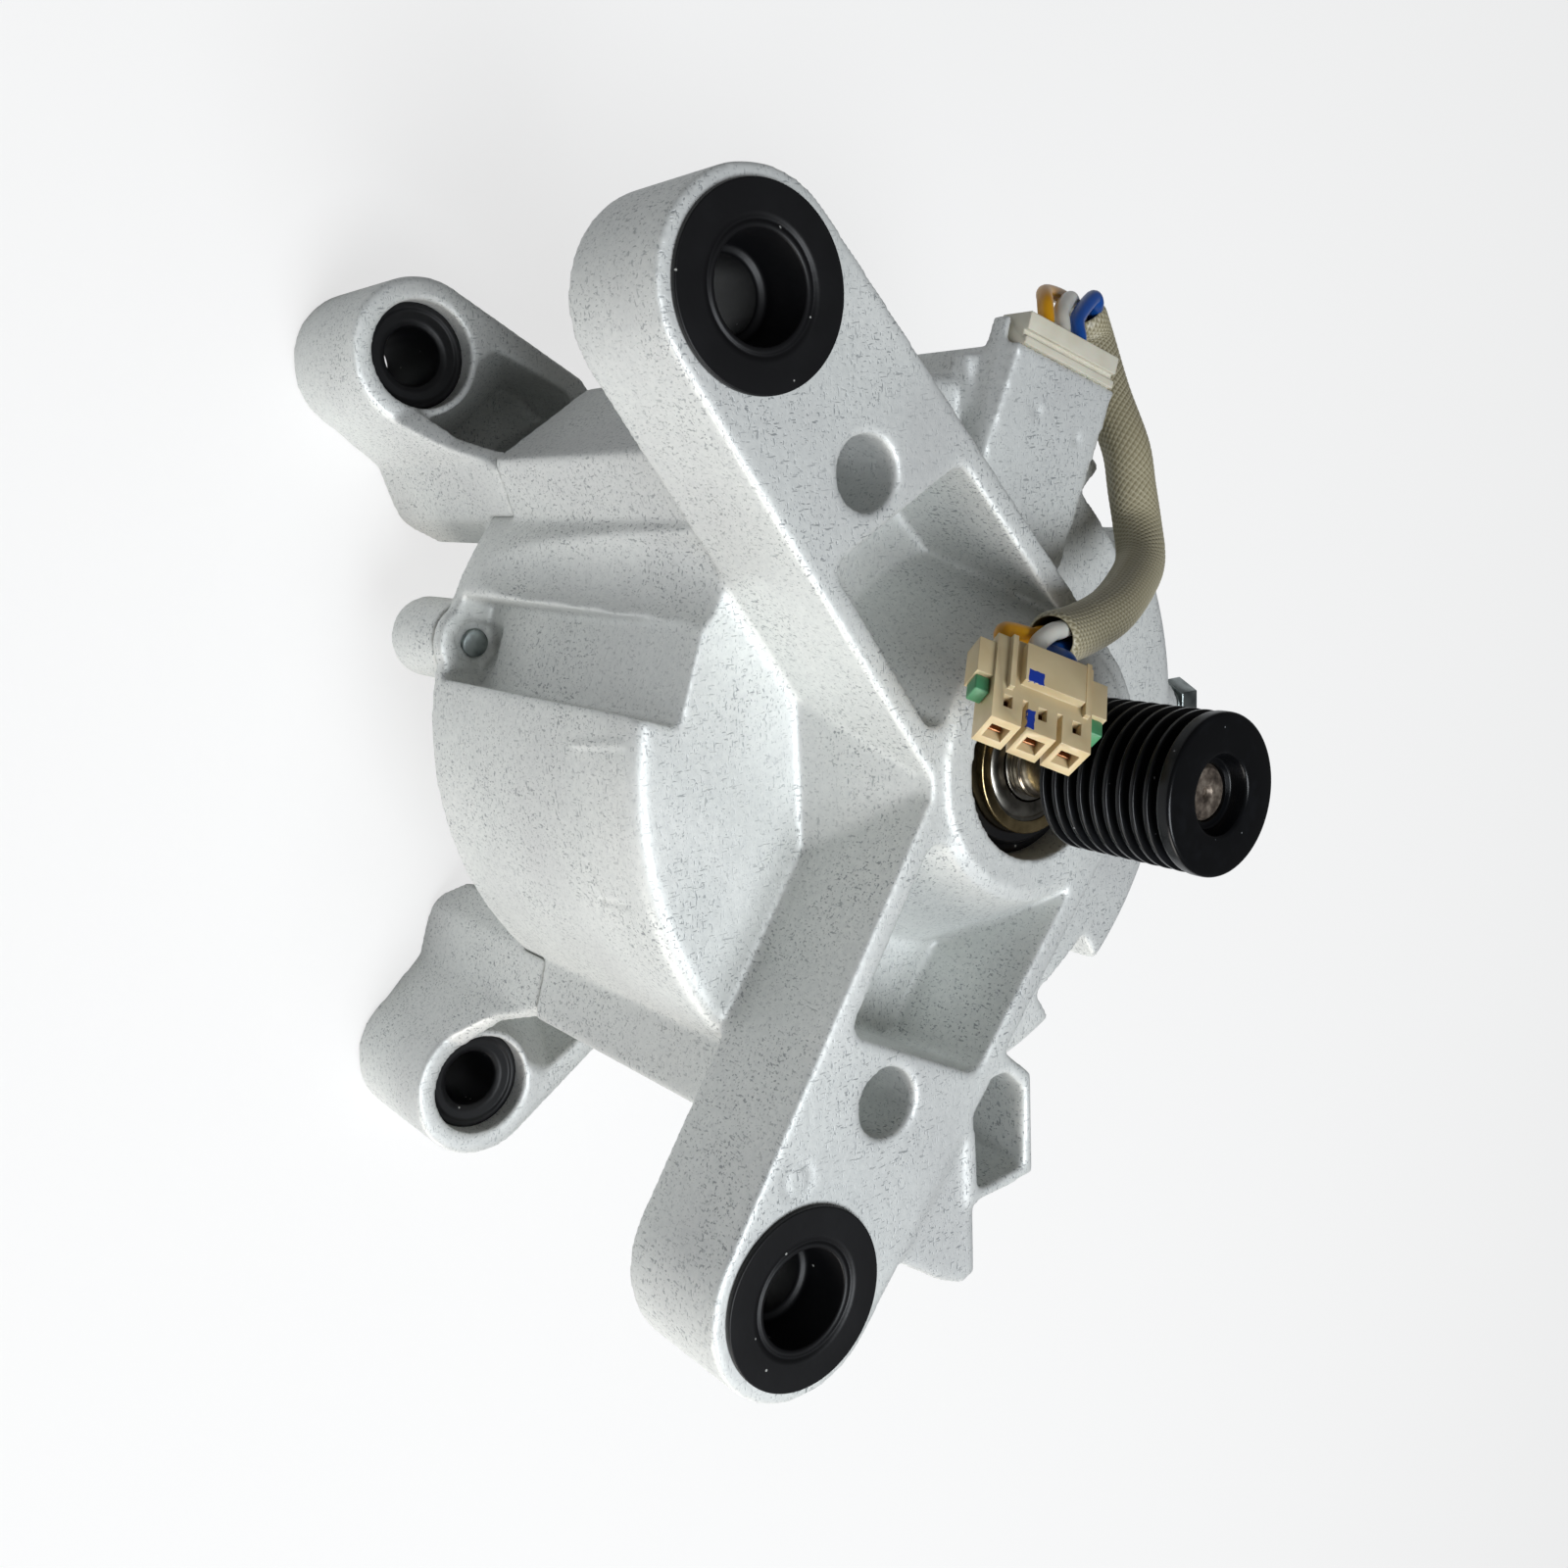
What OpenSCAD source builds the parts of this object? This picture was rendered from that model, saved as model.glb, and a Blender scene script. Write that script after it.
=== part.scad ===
// Belt-drive washing machine motor, standing on its rear mounting lugs, pulley up.
// The origin is on the motor's axis, in the plane of the rear lug ends; +Z points to the pulley,
// +Y to the side of the mounting lugs.

/* [Cup] */
// Outer radius of the cup
cup_r = 59.2; // [58.6:0.1:60]
// Wall of the cup
cup_wall = 4.2; // [3.4:0.1:5]
// Height of the cup's rear edge
cup_rear_z = 39; // [38:0.5:41]
// Height of the cup's front face
cup_front_z = 104; // [103:0.5:108]
// Thickness of the cup's front wall
cup_front_wall = 6; // [5:0.5:7]
// Rounding of the cup's front edge
cup_round = 2.7; // [1:0.1:3.4]
// Outer radius of the hub on the front wall
hub_r = 22.5; // [22:0.1:24]
// Radius of the raised ring round the hub bore
hub_ring_r = 19.5; // [18:0.1:21]
// Height of the raised ring over the arm face
hub_ring_h = 0.5; // [0.3:0.1:1.5]
// Radius of the hub's foot, under its flared wall
hub_foot_r = 32; // [28:0.5:36]

/* [Front arms] */
// Distance of a lug axis from the motor axis, across
lug_x = 68; // [66:0.5:72]
// Distance of a lug axis from the motor axis, forward
lug_y = 49.6; // [48:0.4:52]
// Outer radius of a front lug
front_lug_r = 15.3; // [14.8:0.1:16.5]
// Depth of the arms over the cup's front face
arm_h = 21; // [18:0.5:24]
// Distance of the notch between the arms from the motor axis
notch_y = 21.5; // [19:0.5:24]
// Distance of the notch web's foot from the motor axis
web_foot_y = 29.8; // [28:0.2:31]
// Rim of a pocket along the outer side of an arm
pocket_outer_rim = 4; // [3:0.2:5]
// Rim of a pocket along the inner side of an arm
pocket_inner_rim = 4; // [3:0.2:5]
// Corner radius of a pocket
pocket_corner_r = 2.4; // [1:0.2:3]
// Floor left under a pocket
pocket_floor = 1; // [0.5:0.5:3]
// Radius of the cored hole in an arm
core_hole_r = 5.2; // [4:0.1:6]
// Place of the cored hole, from the lug axis towards the motor axis
core_hole_back = 29; // [28:0.5:31]
// Depth of the cored hole
core_hole_depth = 19; // [12:0.5:20]

/* [Bushings] */
// Radius of a front bushing's body
front_bush_r = 11; // [9.5:0.1:12]
// Radius of a front bushing's flange
front_flange_r = 13.2; // [12.5:0.1:14]
// Thickness of a front bushing's flange
front_flange_h = 1; // [0.6:0.1:2]
// Radius of the dish in a front bushing
dish_r = 7.2; // [6.5:0.1:8]
// Depth of the dish in a front bushing
dish_depth = 8; // [4:0.5:12]
// Radius of the bolt bore in every bushing
bolt_bore_r = 5.2; // [4.2:0.1:6.2]
// Outer radius of a rear lug
rear_lug_r = 13.4; // [12.8:0.1:14.5]
// Length of a rear lug
rear_lug_h = 28; // [26:0.5:30]
// Radius of a rear bushing
rear_bush_r = 9.4; // [8.6:0.1:10]
// Depth of a rear bushing's face inside its lug
rear_bush_set = 3.8; // [2:0.2:8]

/* [Screw bosses] */
// Angle of the first screw boss
boss_turn = 70.4; // [68:0.4:73]
// Angle from the first to the second screw boss
second_boss_step = 142; // [140:0.5:144]
// Angle from the first to the third screw boss
third_boss_step = 240; // [238:0.5:242]
// Distance of a screw boss from the motor axis
boss_reach = 53.6; // [53:0.1:54.4]
// Outer radius of a screw boss
boss_r = 7.3; // [6.8:0.1:7.8]
// Height of a screw boss's rear face
boss_rear_z = 22; // [18:0.5:26]
// Thickness of the cup's ear on a boss
ear_h = 3; // [2.4:0.1:4]
// Distance of the trough's floor from the motor axis
trough_floor = 51.5; // [51.2:0.1:52]
// Width of the trough in front of an ear
trough_w = 14.8; // [13.6:0.2:15.6]
// Radius of the screw thread
screw_r = 2.4; // [2:0.1:2.6]
// Width across the flats of the hexagon recess
hex_af = 8; // [7:0.1:8.6]

/* [Connector tower] */
// Angle of the tower round the motor axis, clockwise
tower_turn = 19.5; // [17:0.5:21]
// Width of the tower
tower_w = 23.8; // [22:0.2:26]
// Distance of the tower's outer face from the motor axis
tower_reach = 62.8; // [62:0.2:64]
// Height of the tower's face over the cup's front face
tower_rise = 9; // [8:0.5:11]
// Width of the plug's head
plug_w = 21.6; // [20:0.2:23]
// Height of the plug's head over the tower's outer face
plug_head_h = 5.2; // [4:0.2:6]

/* [Shaft and bearings] */
// Radius of the shaft
shaft_r = 4; // [3.8:0.05:4.2]
// Outer radius of a bearing
bearing_r = 11; // [10.8:0.1:11.2]
// Width of a bearing
bearing_w = 7; // [6.6:0.1:7.4]
// Height of the front bearing's front face
front_bearing_z = 123.7; // [123:0.1:124.4]
// Height of the rear bearing's rear face
rear_bearing_z = 6; // [5.5:0.1:7]
// Radius of the hub bore
hub_bore_r = 14.66; // [14.2:0.02:15.4]
// Balls in one bearing
ball_count = 7; // [6:1:8]

/* [Pulley] */
// Outer radius of the pulley's flange
pulley_r = 11.25; // [10.6:0.05:11.6]
// Distance between the pulley's ribs
rib_pitch = 2.25; // [2.2:0.01:2.34]
// Number of belt ribs
rib_count = 9; // [6:1:9]
// Depth of the grooves between the ribs
groove_depth = 2; // [1.6:0.1:2.4]
// Height of the pulley's rear end
pulley_rear_z = 134; // [133:0.5:136]
// Radius of the recess in the pulley's front face
pulley_recess_r = 5.6; // [5:0.1:6.5]
// Depth of the recess in the pulley's front face
pulley_recess_h = 2.4; // [1:0.1:4]

/* [Rotor and stator] */
// Outer radius of the rotor
rotor_r = 26.8; // [26:0.1:27.2]
// Air gap between rotor and stator
air_gap = 0.7; // [0.5:0.05:1]
// Thickness of the magnets
magnet_t = 4.8; // [4:0.1:6]
// Number of magnet poles
pole_count = 8; // [6:2:10]
// Outer radius of the stator core
stator_r = 47.5; // [47:0.1:48]
// Height of the stator core's rear face
stator_z = 52; // [51:0.5:54]
// Length of the stator core
stator_h = 34; // [30:0.5:35]
// Radial width of the stator's yoke
yoke_t = 6; // [5:0.5:7]
// Number of stator teeth
tooth_count = 12; // [12:3:12]
// Width of a stator tooth
tooth_w = 5.6; // [4.6:0.2:6]
// Thickness of a coil beside its tooth
coil_t = 2.6; // [1.6:0.2:2.8]

/* [Lead] */
// Radius of one insulated wire
wire_r = 1.3; // [1:0.1:1.4]
// Radius of the braided sleeve
sleeve_r = 4; // [3.6:0.1:4.2]
// Distance between the contacts of the lead's connector
contact_pitch = 5; // [4.8:0.05:5.1]
// Length of the lead's connector
plug_len = 14.5; // [14:0.5:16]
// Thickness of the lead's connector
plug_t = 5.6; // [5.2:0.1:6]

/* [Hidden] */
$fn = 96;

// Running clearance of parts that turn in each other
run_gap = 0.05;
// Clearance of parts that slide together when they are put in place
slip_gap = 0.1;
// Clearance between a coil or insulator and what it goes round
coil_gap = 0.15;
// Overlap of cutting bodies past the faces that they cut
cut = 0.5;
// Step that keeps one face just inside another where they would run into each other
step = 0.02;

cup_bore_r = cup_r - cup_wall;
cavity_top_z = cup_front_z - cup_front_wall;
arm_z = cup_front_z + arm_h;
ring_z = arm_z + hub_ring_h;

// The arm's sides are tangents: the outer one from the notch to the lug, the inner one from lug to hub
lug_reach = norm([lug_x, lug_y]);
lug_turn = atan2(lug_y, lug_x);
arm_side_r = front_lug_r - step;
outer_turn = atan2(lug_y - notch_y, lug_x) + asin(arm_side_r / norm([lug_x, lug_y - notch_y]));
inner_turn = lug_turn + asin((hub_r - front_lug_r) / lug_reach);
outer_tangent = [lug_x, lug_y] + arm_side_r * [-sin(outer_turn), cos(outer_turn)];
inner_tangent = [lug_x, lug_y] + arm_side_r * [sin(inner_turn), -cos(inner_turn)];
hub_tangent = (hub_r - step) * [sin(inner_turn), -cos(inner_turn)];

// Points of the arm pocket's four corner circles, along the outer and the inner rim
function outer_rim(s) = [0, notch_y] + s * [cos(outer_turn), sin(outer_turn)]
  + (pocket_outer_rim + pocket_corner_r) * [sin(outer_turn), -cos(outer_turn)];
function inner_rim(s) = hub_tangent + s * [cos(inner_turn), sin(inner_turn)]
  + (pocket_inner_rim + pocket_corner_r) * [-sin(inner_turn), cos(inner_turn)];
pocket_near_s = 9;
pocket_outer_far_s = 34;
pocket_inner_far_s = 42;
core_hole_at = (lug_reach - core_hole_back) * [cos(lug_turn), sin(lug_turn)];

// Section of the beam that carries a front lug on the cup's side
beam_section = [[34, 40], [38.8, 44.8], [49, 48], [60.5, 29], [59, 10], [50, 10]];
beam_rear_z = 48;

boss_turns = [boss_turn, boss_turn + second_boss_step, boss_turn + third_boss_step];
free_rib_turns = [boss_turn + 48, boss_turn + 95, boss_turn + 190];
ear_z = cup_rear_z + ear_h;
rib_reach = stator_r + slip_gap;
rib_low_z = ear_z - 1;
hex_depth = 1;
hex_run = 4;

// Tower, duct ridge and plug, in a frame turned so that its X runs through the tower
tower_z = cup_front_z + tower_rise;
tower_inner = 46;
tower_foot_z = 86;
tower_side = -tower_w / 2;
cheek_side = 12.6;
ridge_start = 24;
ridge_start_z = cup_front_z + 5;
slot_w = 18;
slot_inner = 51.5;
slot_low_z = 88;
slot_high_z = tower_z - 1.8;
head_low_z = tower_z - 6;
head_high_z = tower_z + 0.2;
head_groove_h = 1;
head_top = tower_reach + plug_head_h;
pin_inner = 49.3;
pin_z = 92.4;

// Earth point, on an axis along -Y
earth_x = -2.5;
earth_z = 96.8;
earth_boss_r = 7;
earth_boss_end = 61;
earth_washer_t = 0.8;
earth_tag_t = 0.8;
earth_hex_at = 65.6;
earth_hex_h = 4.4;

// Groove that runs out at the cup's front edge, between a beam and the first trough
valley_turn = 58.5;
valley_r = 8;
valley_back_z = 45;
valley_depth = 8.2;

// Rear bracket, as radii and heights of its turned section
bracket_rim_r = cup_r - 1.7;
bracket_rim_h = 3;
bracket_spigot_h = 2;
spigot_bore_r = 51.5;
bracket_foot_r = 18;
bracket_boss_top = rear_bearing_z + bearing_w;
bearing_seat_z = rear_bearing_z - 1.5;
arm_floor = 5;
arm_pocket_wall = 4.5;

// Bearing details, for seven balls in a ring of 8 mm bore and 22 mm outside
ball_r = 1.98;
ball_reach = 7.5;
race_r = ball_r + run_gap;
inner_ring_r = 5.9;
outer_ring_bore = 9.1;
cage_t = 0.9;
cage_h = 4.9;
shield_t = 0.4;
shield_outer_r = 9.1;
shield_inner_r = 6.2;

iso_floor_h = 2.2;
iso_top_z = front_bearing_z - 2.4;
iso_step_z = front_bearing_z - 4;
iso_step_r = 12.8;
hub_shoulder_z = front_bearing_z - bearing_w - iso_floor_h;
hub_hole_r = 9.5;

pulley_front_flange_h = 1.8;
pulley_collar_h = 1.2;
pulley_front_z = pulley_rear_z + pulley_collar_h + rib_count * rib_pitch + pulley_front_flange_h;
rib_top_r = pulley_r - 0.1;
shaft_top_z = pulley_front_z - pulley_recess_h;
shaft_low_z = rear_bearing_z - 0.8;
shaft_step_r = 5;
spacer_r = 5.2;
step_low_z = rear_bearing_z + bearing_w + slip_gap;
step_high_z = front_bearing_z - bearing_w - slip_gap;
ring_groove_z = 100;

stator_bore = rotor_r + air_gap;
stator_top_z = stator_z + stator_h;
rotor_overhang = 2;
rotor_low_z = stator_z - rotor_overhang;
rotor_high_z = stator_top_z + rotor_overhang;
end_ring_h = 2;
magnet_skin = 0.6;
insulator_t = 1.5;
shoe_h = 2;
coil_inner_r = stator_bore + shoe_h + 1.6;
coil_outer_r = stator_r - yoke_t - 1.2;
coil_over = 5;

// Cord routes. Millimetres in the part's frame, points chosen by hand
sleeve_mouth = [69, -38, 101];
sleeve_end = [20.5, 9, 135.5];
sleeve_route = [
  sleeve_mouth, [64, -41, 100.5], [55, -39.5, 105], [46, -38, 110.2], [39.5, -37, 112.2],
  [33, -36, 114.2], [28, -32, 118], [25, -25, 122], [22, -12, 128.5], [20.5, 0, 132.5], sleeve_end
];
sleeve_mouth_in = 1.5;
mouth_spread = 1.9;
end_spread = 1.8;
wire_stub = 1.2;

// The lead's connector: the place of its contact face and its three directions
connector_face = [8.9, 24.5, 145.8];
row_turn = -117.6;
row_rise = 26.8;
row_roll = -32;
along_row = [cos(row_rise) * cos(row_turn), cos(row_rise) * sin(row_turn), sin(row_rise)];
row_side = [-sin(row_turn), cos(row_turn), 0];
to_wires = cos(row_roll) * row_side + sin(row_roll) * cross(along_row, row_side);
to_latch = cross(along_row, to_wires);
connector_w = 2 * contact_pitch + 4.3;
ear_reach = connector_w / 2 + 2.4;
chamber_w = 2.6;
chamber_h = 2.8;
chamber_depth = 8;
wire_side = connector_face + plug_len * to_wires;

cast_colour = [0.78, 0.8, 0.8];
rubber_colour = [0.06, 0.06, 0.07];
steel_colour = [0.6, 0.6, 0.58];
nylon_colour = [0.88, 0.86, 0.76];
copper_colour = [0.72, 0.45, 0.28];

function unit(v) = v / norm(v);

// Point on a smooth curve through b and c, with neighbours a and d
function curve_point(a, b, c, d, t) = 0.5 * (2 * b + (c - a) * t
  + (2 * a - 5 * b + 4 * c - d) * t * t + (3 * b - a - 3 * c + d) * t * t * t);

// Route with steps extra points per stretch
function smooth_route(p, steps) = concat(
  [for (i = [0:len(p) - 2]) for (k = [0:steps - 1])
    curve_point(p[max(i - 1, 0)], p[i], p[i + 1], p[min(i + 2, len(p) - 1)], k / steps)],
  [p[len(p) - 1]]);

function heading(p, i) = unit(p[min(i + 1, len(p) - 1)] - p[max(i - 1, 0)]);

// Tube of radius r along the points p; up is a direction that the route never takes
module cord_tube(p, r, sides, up) {
  rings = [for (i = [0:len(p) - 1])
    let (t = heading(p, i), s = unit(cross(t, up)), n = cross(s, t))
    [for (k = [0:sides - 1]) p[i] + r * (cos(360 * k / sides) * s + sin(360 * k / sides) * n)]];
  last = (len(p) - 1) * sides;
  points = [for (ring = rings) for (q = ring) q];
  walls = [for (i = [0:len(p) - 2]) for (k = [0:sides - 1])
    let (a = i * sides + k, b = i * sides + (k + 1) % sides) [a, a + sides, b + sides, b]];
  low_end = [for (k = [0:sides - 1]) k];
  high_end = [for (k = [0:sides - 1]) last + sides - 1 - k];
  polyhedron(points, concat([low_end], walls, [high_end]));
}

// Both of a mirrored pair, left and right of the motor's middle plane
module both_sides() {
  children();
  mirror([1, 0, 0]) children();
}

module at_bosses() {
  for (a = boss_turns) rotate([0, 0, a]) translate([boss_reach, 0, 0]) children();
}

module at_tower() {
  rotate([0, 0, -tower_turn]) children();
}

module ring(r_out, r_in, h) {
  difference() {
    cylinder(r = r_out, h = h);
    translate([0, 0, -cut]) cylinder(r = r_in, h = h + 2 * cut);
  }
}

// Box between two corners
module box(low, high) {
  translate(low) cube(high - low);
}

module cup_body() {
  rotate_extrude() {
    difference() {
      translate([0, cup_rear_z]) square([cup_r, cup_front_z - cup_rear_z]);
      difference() {
        translate([cup_r - cup_round, cup_front_z - cup_round]) square(cup_round + cut);
        translate([cup_r - cup_round, cup_front_z - cup_round]) circle(r = cup_round);
      }
    }
  }
}

module arm_plan() {
  polygon([[0, notch_y], outer_tangent, [lug_x, lug_y], inner_tangent, hub_tangent, [0, 0]]);
  translate([lug_x, lug_y]) circle(r = front_lug_r);
}

module arm_bar() {
  translate([0, 0, cavity_top_z]) cylinder(r = hub_r, h = arm_z - cavity_top_z);
  translate([0, 0, arm_z - cut]) cylinder(r = hub_ring_r, h = hub_ring_h + cut);
  both_sides() translate([0, 0, cup_front_z]) linear_extrude(arm_h) arm_plan();
}

module notch_web() {
  translate([-12, 0, 0]) rotate([90, 0, 90]) linear_extrude(24)
    polygon([[0, cup_front_z - cut], [web_foot_y, cup_front_z - cut], [web_foot_y, cup_front_z],
      [notch_y, arm_z], [0, arm_z]]);
}

module side_beams() {
  both_sides() translate([0, 0, beam_rear_z]) linear_extrude(cup_front_z - beam_rear_z)
    polygon(beam_section);
}

// Pocket between the rims of one arm, with the hub's flared wall left standing
module arm_pocket() {
  translate([0, 0, cup_front_z + pocket_floor]) difference() {
    linear_extrude(arm_h) hull() {
      translate(outer_rim(pocket_near_s)) circle(r = pocket_corner_r, $fn = 32);
      translate(outer_rim(pocket_outer_far_s)) circle(r = pocket_corner_r, $fn = 32);
      translate(inner_rim(pocket_inner_far_s)) circle(r = pocket_corner_r, $fn = 32);
      translate(inner_rim(pocket_near_s)) circle(r = pocket_corner_r, $fn = 32);
    }
    translate([0, 0, -cut]) cylinder(r1 = hub_foot_r, r2 = hub_ring_r + 1, h = arm_h + cut);
  }
}

module duct_ridge() {
  at_tower() translate([0, -tower_side, 0]) rotate([90, 0, 0]) linear_extrude(tower_w)
    polygon([[ridge_start, cup_front_z - cut], [ridge_start, ridge_start_z],
      [tower_inner, tower_z - 2], [tower_reach, tower_z], [tower_reach, tower_foot_z],
      [tower_inner, tower_foot_z]]);
  box([50, -14, 101.5], [62, -5.5, 106]);
  at_tower() box([tower_inner, plug_w / 2 + 0.4, tower_z - 6.5],
    [tower_reach + 4.4, cheek_side, tower_z - 3]);
}

// Ear that takes a housing screw, and the thick wall behind its trough
module screw_ears() {
  at_bosses() {
    translate([0, 0, cup_rear_z + step]) {
      cylinder(r = boss_r, h = ear_h - step);
      box([rib_reach - boss_reach, step - boss_r, 0], [0, boss_r - step, ear_h - step]);
    }
  }
}

module fin() {
  translate([0, 0, 108]) linear_extrude(arm_z - 108 - hub_ring_h)
    polygon([[-68, 34], [-76.5, 22.2], [-78.4, 18.1], [-77.5, 15.4], [-59.9, 15.1], [-52, 19]]);
}

module box_pocket() {
  difference() {
    union() {
      translate([0, 0, 100]) linear_extrude(arm_z - 100)
        polygon([[-44, 17], [-43, 9], [-48.6, 2.8], [-65.2, 2.8], [-66, 17]]);
      translate([-54, 4, 119]) rotate([90, 0, 0]) cylinder(r = 3, h = 2.2);
    }
    translate([0, 0, 106]) linear_extrude(arm_h)
      polygon([[-49.6, 15.2], [-46.8, 14.1], [-47.1, 7.8], [-50.4, 4.6], [-63.3, 4.9], [-64.1, 14.6]]);
  }
}

// Frame of the earth point: Z runs outwards, through the earth screw
module at_earth(reach) {
  translate([earth_x, -reach, earth_z]) rotate([90, 0, 0]) children();
}

// Seats that hold the stator core in the cup
module stator_ribs() {
  intersection() {
    difference() {
      translate([0, 0, rib_low_z]) cylinder(r = cup_bore_r + cut, h = cavity_top_z - rib_low_z + cut);
      cylinder(r = rib_reach, h = stator_top_z);
      cylinder(r = stator_r - yoke_t + 3, h = cavity_top_z + arm_h);
    }
    union() {
      for (a = boss_turns) rotate([0, 0, a]) box([40, -10, 0], [cup_r, 10, cup_front_z - 1]);
      for (a = free_rib_turns) rotate([0, 0, a]) box([40, -4, 0], [cup_r, 4, cup_front_z - 1]);
      rotate([0, 0, valley_turn]) box([40, -9, 0], [cup_r, 9, cup_front_z - 1]);
    }
  }
}

// Tapering groove, as a leaning cylinder that sinks in towards the front edge
module valley() {
  lean = atan2(valley_depth, cup_front_z - valley_back_z);
  rotate([0, 0, valley_turn]) translate([cup_r + valley_r, 0, valley_back_z]) rotate([0, -lean, 0])
    translate([0, 0, -10]) cylinder(r = valley_r, h = cup_front_z - valley_back_z + 12);
}

module front_housing() {
  color(cast_colour) difference() {
    union() {
      difference() {
        union() {
          cup_body();
          arm_bar();
          notch_web();
          side_beams();
          duct_ridge();
          fin();
          box_pocket();
          at_earth(cup_bore_r + 1) cylinder(r = earth_boss_r, h = earth_boss_end - cup_bore_r - 1);
        }
        translate([0, 0, cup_rear_z - cut])
          cylinder(r = cup_bore_r, h = cavity_top_z - cup_rear_z + cut);
        both_sides() arm_pocket();
      }
      screw_ears();
      stator_ribs();
    }
    difference() {
      valley();
      translate([0, 0, cup_front_z]) cylinder(r = 100, h = arm_h);
      translate([0, 0, beam_rear_z]) linear_extrude(arm_h + cup_front_z) polygon(beam_section);
    }
    for (a = boss_turns) rotate([0, 0, a])
      box([trough_floor, -trough_w / 2, ear_z - step], [cup_r + 8, trough_w / 2, cup_front_z + step]);
    at_bosses() {
      translate([0, 0, cup_rear_z - cut]) cylinder(r = screw_r, h = ear_h + 2 * cut);
      translate([0, 0, ear_z - hex_depth])
        cylinder(d = hex_af / cos(30), h = hex_depth + hex_run, $fn = 6);
    }
    translate([0, 0, hub_shoulder_z]) cylinder(r = hub_bore_r, h = ring_z - hub_shoulder_z + cut);
    translate([0, 0, cavity_top_z - cut]) cylinder(r = hub_hole_r, h = arm_h + cup_front_wall);
    both_sides() {
      translate([lug_x, lug_y, cup_front_z - cut]) cylinder(r = front_bush_r, h = arm_h + 2 * cut);
      translate([core_hole_at[0], core_hole_at[1], arm_z - core_hole_depth])
        cylinder(r = core_hole_r, h = core_hole_depth + cut);
    }
    at_tower() {
      box([slot_inner, -slot_w / 2, slot_low_z], [head_top + cut, slot_w / 2, slot_high_z]);
      box([tower_reach, -plug_w / 2 - slip_gap, head_low_z - slip_gap],
        [head_top + 1, plug_w / 2 + slip_gap, tower_z + cut]);
      for (y = [-5, 5]) translate([54, y, tower_z - 0.8]) cylinder(r = 1.4, h = 2);
    }
    at_earth(earth_boss_end + cut) rotate([180, 0, 0]) cylinder(r = 2, h = 8);
  }
}

// Extrusion of a side view, drawn along the line from the motor axis to the lug
module along_arm() {
  rotate([0, 0, lug_turn]) translate([0, 40, 0]) rotate([90, 0, 0]) linear_extrude(80) children();
}

module rear_arm() {
  intersection() {
    linear_extrude(beam_rear_z) {
      polygon([[34, 40], [38.8, 44.8], [49, 48], [59.3, 59.6], [lug_x, lug_y], [79.6, 43], [63.5, 17.6],
        [50, 8], [40, 20]]);
      translate([lug_x, lug_y]) circle(r = rear_lug_r);
    }
    along_arm() polygon([[42, 16], [49, 11], [55, 2], [61, 0], [98, 0], [98, rear_lug_h],
      [42, rear_lug_h]]);
  }
  intersection() {
    linear_extrude(beam_rear_z)
      polygon([[34, 40], [38.8, 44.8], [49, 48], [59.3, 59.6], [62, 56], [58, 51.7], [53, 48],
        [50, 44.5], [47, 38]]);
    along_arm() polygon([[44, 20], [84, 20], [79, rear_lug_h], [71.5, 36], [66.5, beam_rear_z],
      [44, beam_rear_z]]);
  }
}

// Space inside the arm's channel, open to the front
module rear_arm_channel() {
  difference() {
    intersection() {
      linear_extrude(beam_rear_z + cut) rotate([0, 0, lug_turn])
        polygon([[84, 7.6], [78, 7.4], [71, 6], [66, 6.2], [56, 6.6], [56, -18.5], [62, -18.8],
          [80, -10], [84, -9]]);
      along_arm() polygon([[56, 12], [62, 10], [66, 11], [77, rear_lug_h + 0.2],
        [84, rear_lug_h + 0.2], [84, 60], [56, 60]]);
    }
    cylinder(r = bracket_rim_r + 1, h = beam_rear_z);
    translate([lug_x, lug_y, 0]) cylinder(r = rear_bush_r + 1.4, h = beam_rear_z + 1);
  }
}

module rear_bracket() {
  color(cast_colour) difference() {
    union() {
      rotate_extrude() polygon([[0, 0], [bracket_foot_r, 0], [bracket_foot_r, 19], [46, 23],
        [bracket_rim_r, cup_rear_z - bracket_rim_h], [bracket_rim_r, cup_rear_z],
        [cup_bore_r - slip_gap, cup_rear_z], [cup_bore_r - slip_gap, cup_rear_z + bracket_spigot_h],
        [spigot_bore_r, cup_rear_z + bracket_spigot_h], [spigot_bore_r, cup_rear_z - 2],
        [44, 27], [16, 23],
        [16, bracket_boss_top], [bearing_r, bracket_boss_top], [bearing_r, bearing_seat_z],
        [0, bearing_seat_z]]);
      at_bosses() {
        translate([0, 0, boss_rear_z]) cylinder(r = boss_r, h = cup_rear_z + 1 - boss_rear_z);
        translate([-8, -4, boss_rear_z + 2]) cube([8, 8, cup_rear_z - boss_rear_z - 1]);
      }
      difference() {
        both_sides() rear_arm();
        translate([0, 0, cup_rear_z]) cylinder(r = cup_r + slip_gap, h = beam_rear_z);
        translate([0, 0, -cut]) cylinder(r = 44, h = beam_rear_z);
        translate([0, 0, cup_rear_z - 12]) cylinder(r1 = 46, r2 = 52, h = 12 + cut);
      }
    }
    both_sides() {
      rear_arm_channel();
      translate([lug_x, lug_y, -cut]) cylinder(r = rear_bush_r, h = rear_lug_h + 30);
    }
    at_bosses() {
      box([-10, -boss_r - slip_gap, cup_rear_z - step], [10, boss_r + slip_gap, cup_front_z]);
      translate([0, 0, boss_rear_z - cut])
        cylinder(r = screw_r + slip_gap, h = cup_rear_z - boss_rear_z + 2 * cut);
    }
  }
}

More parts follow.
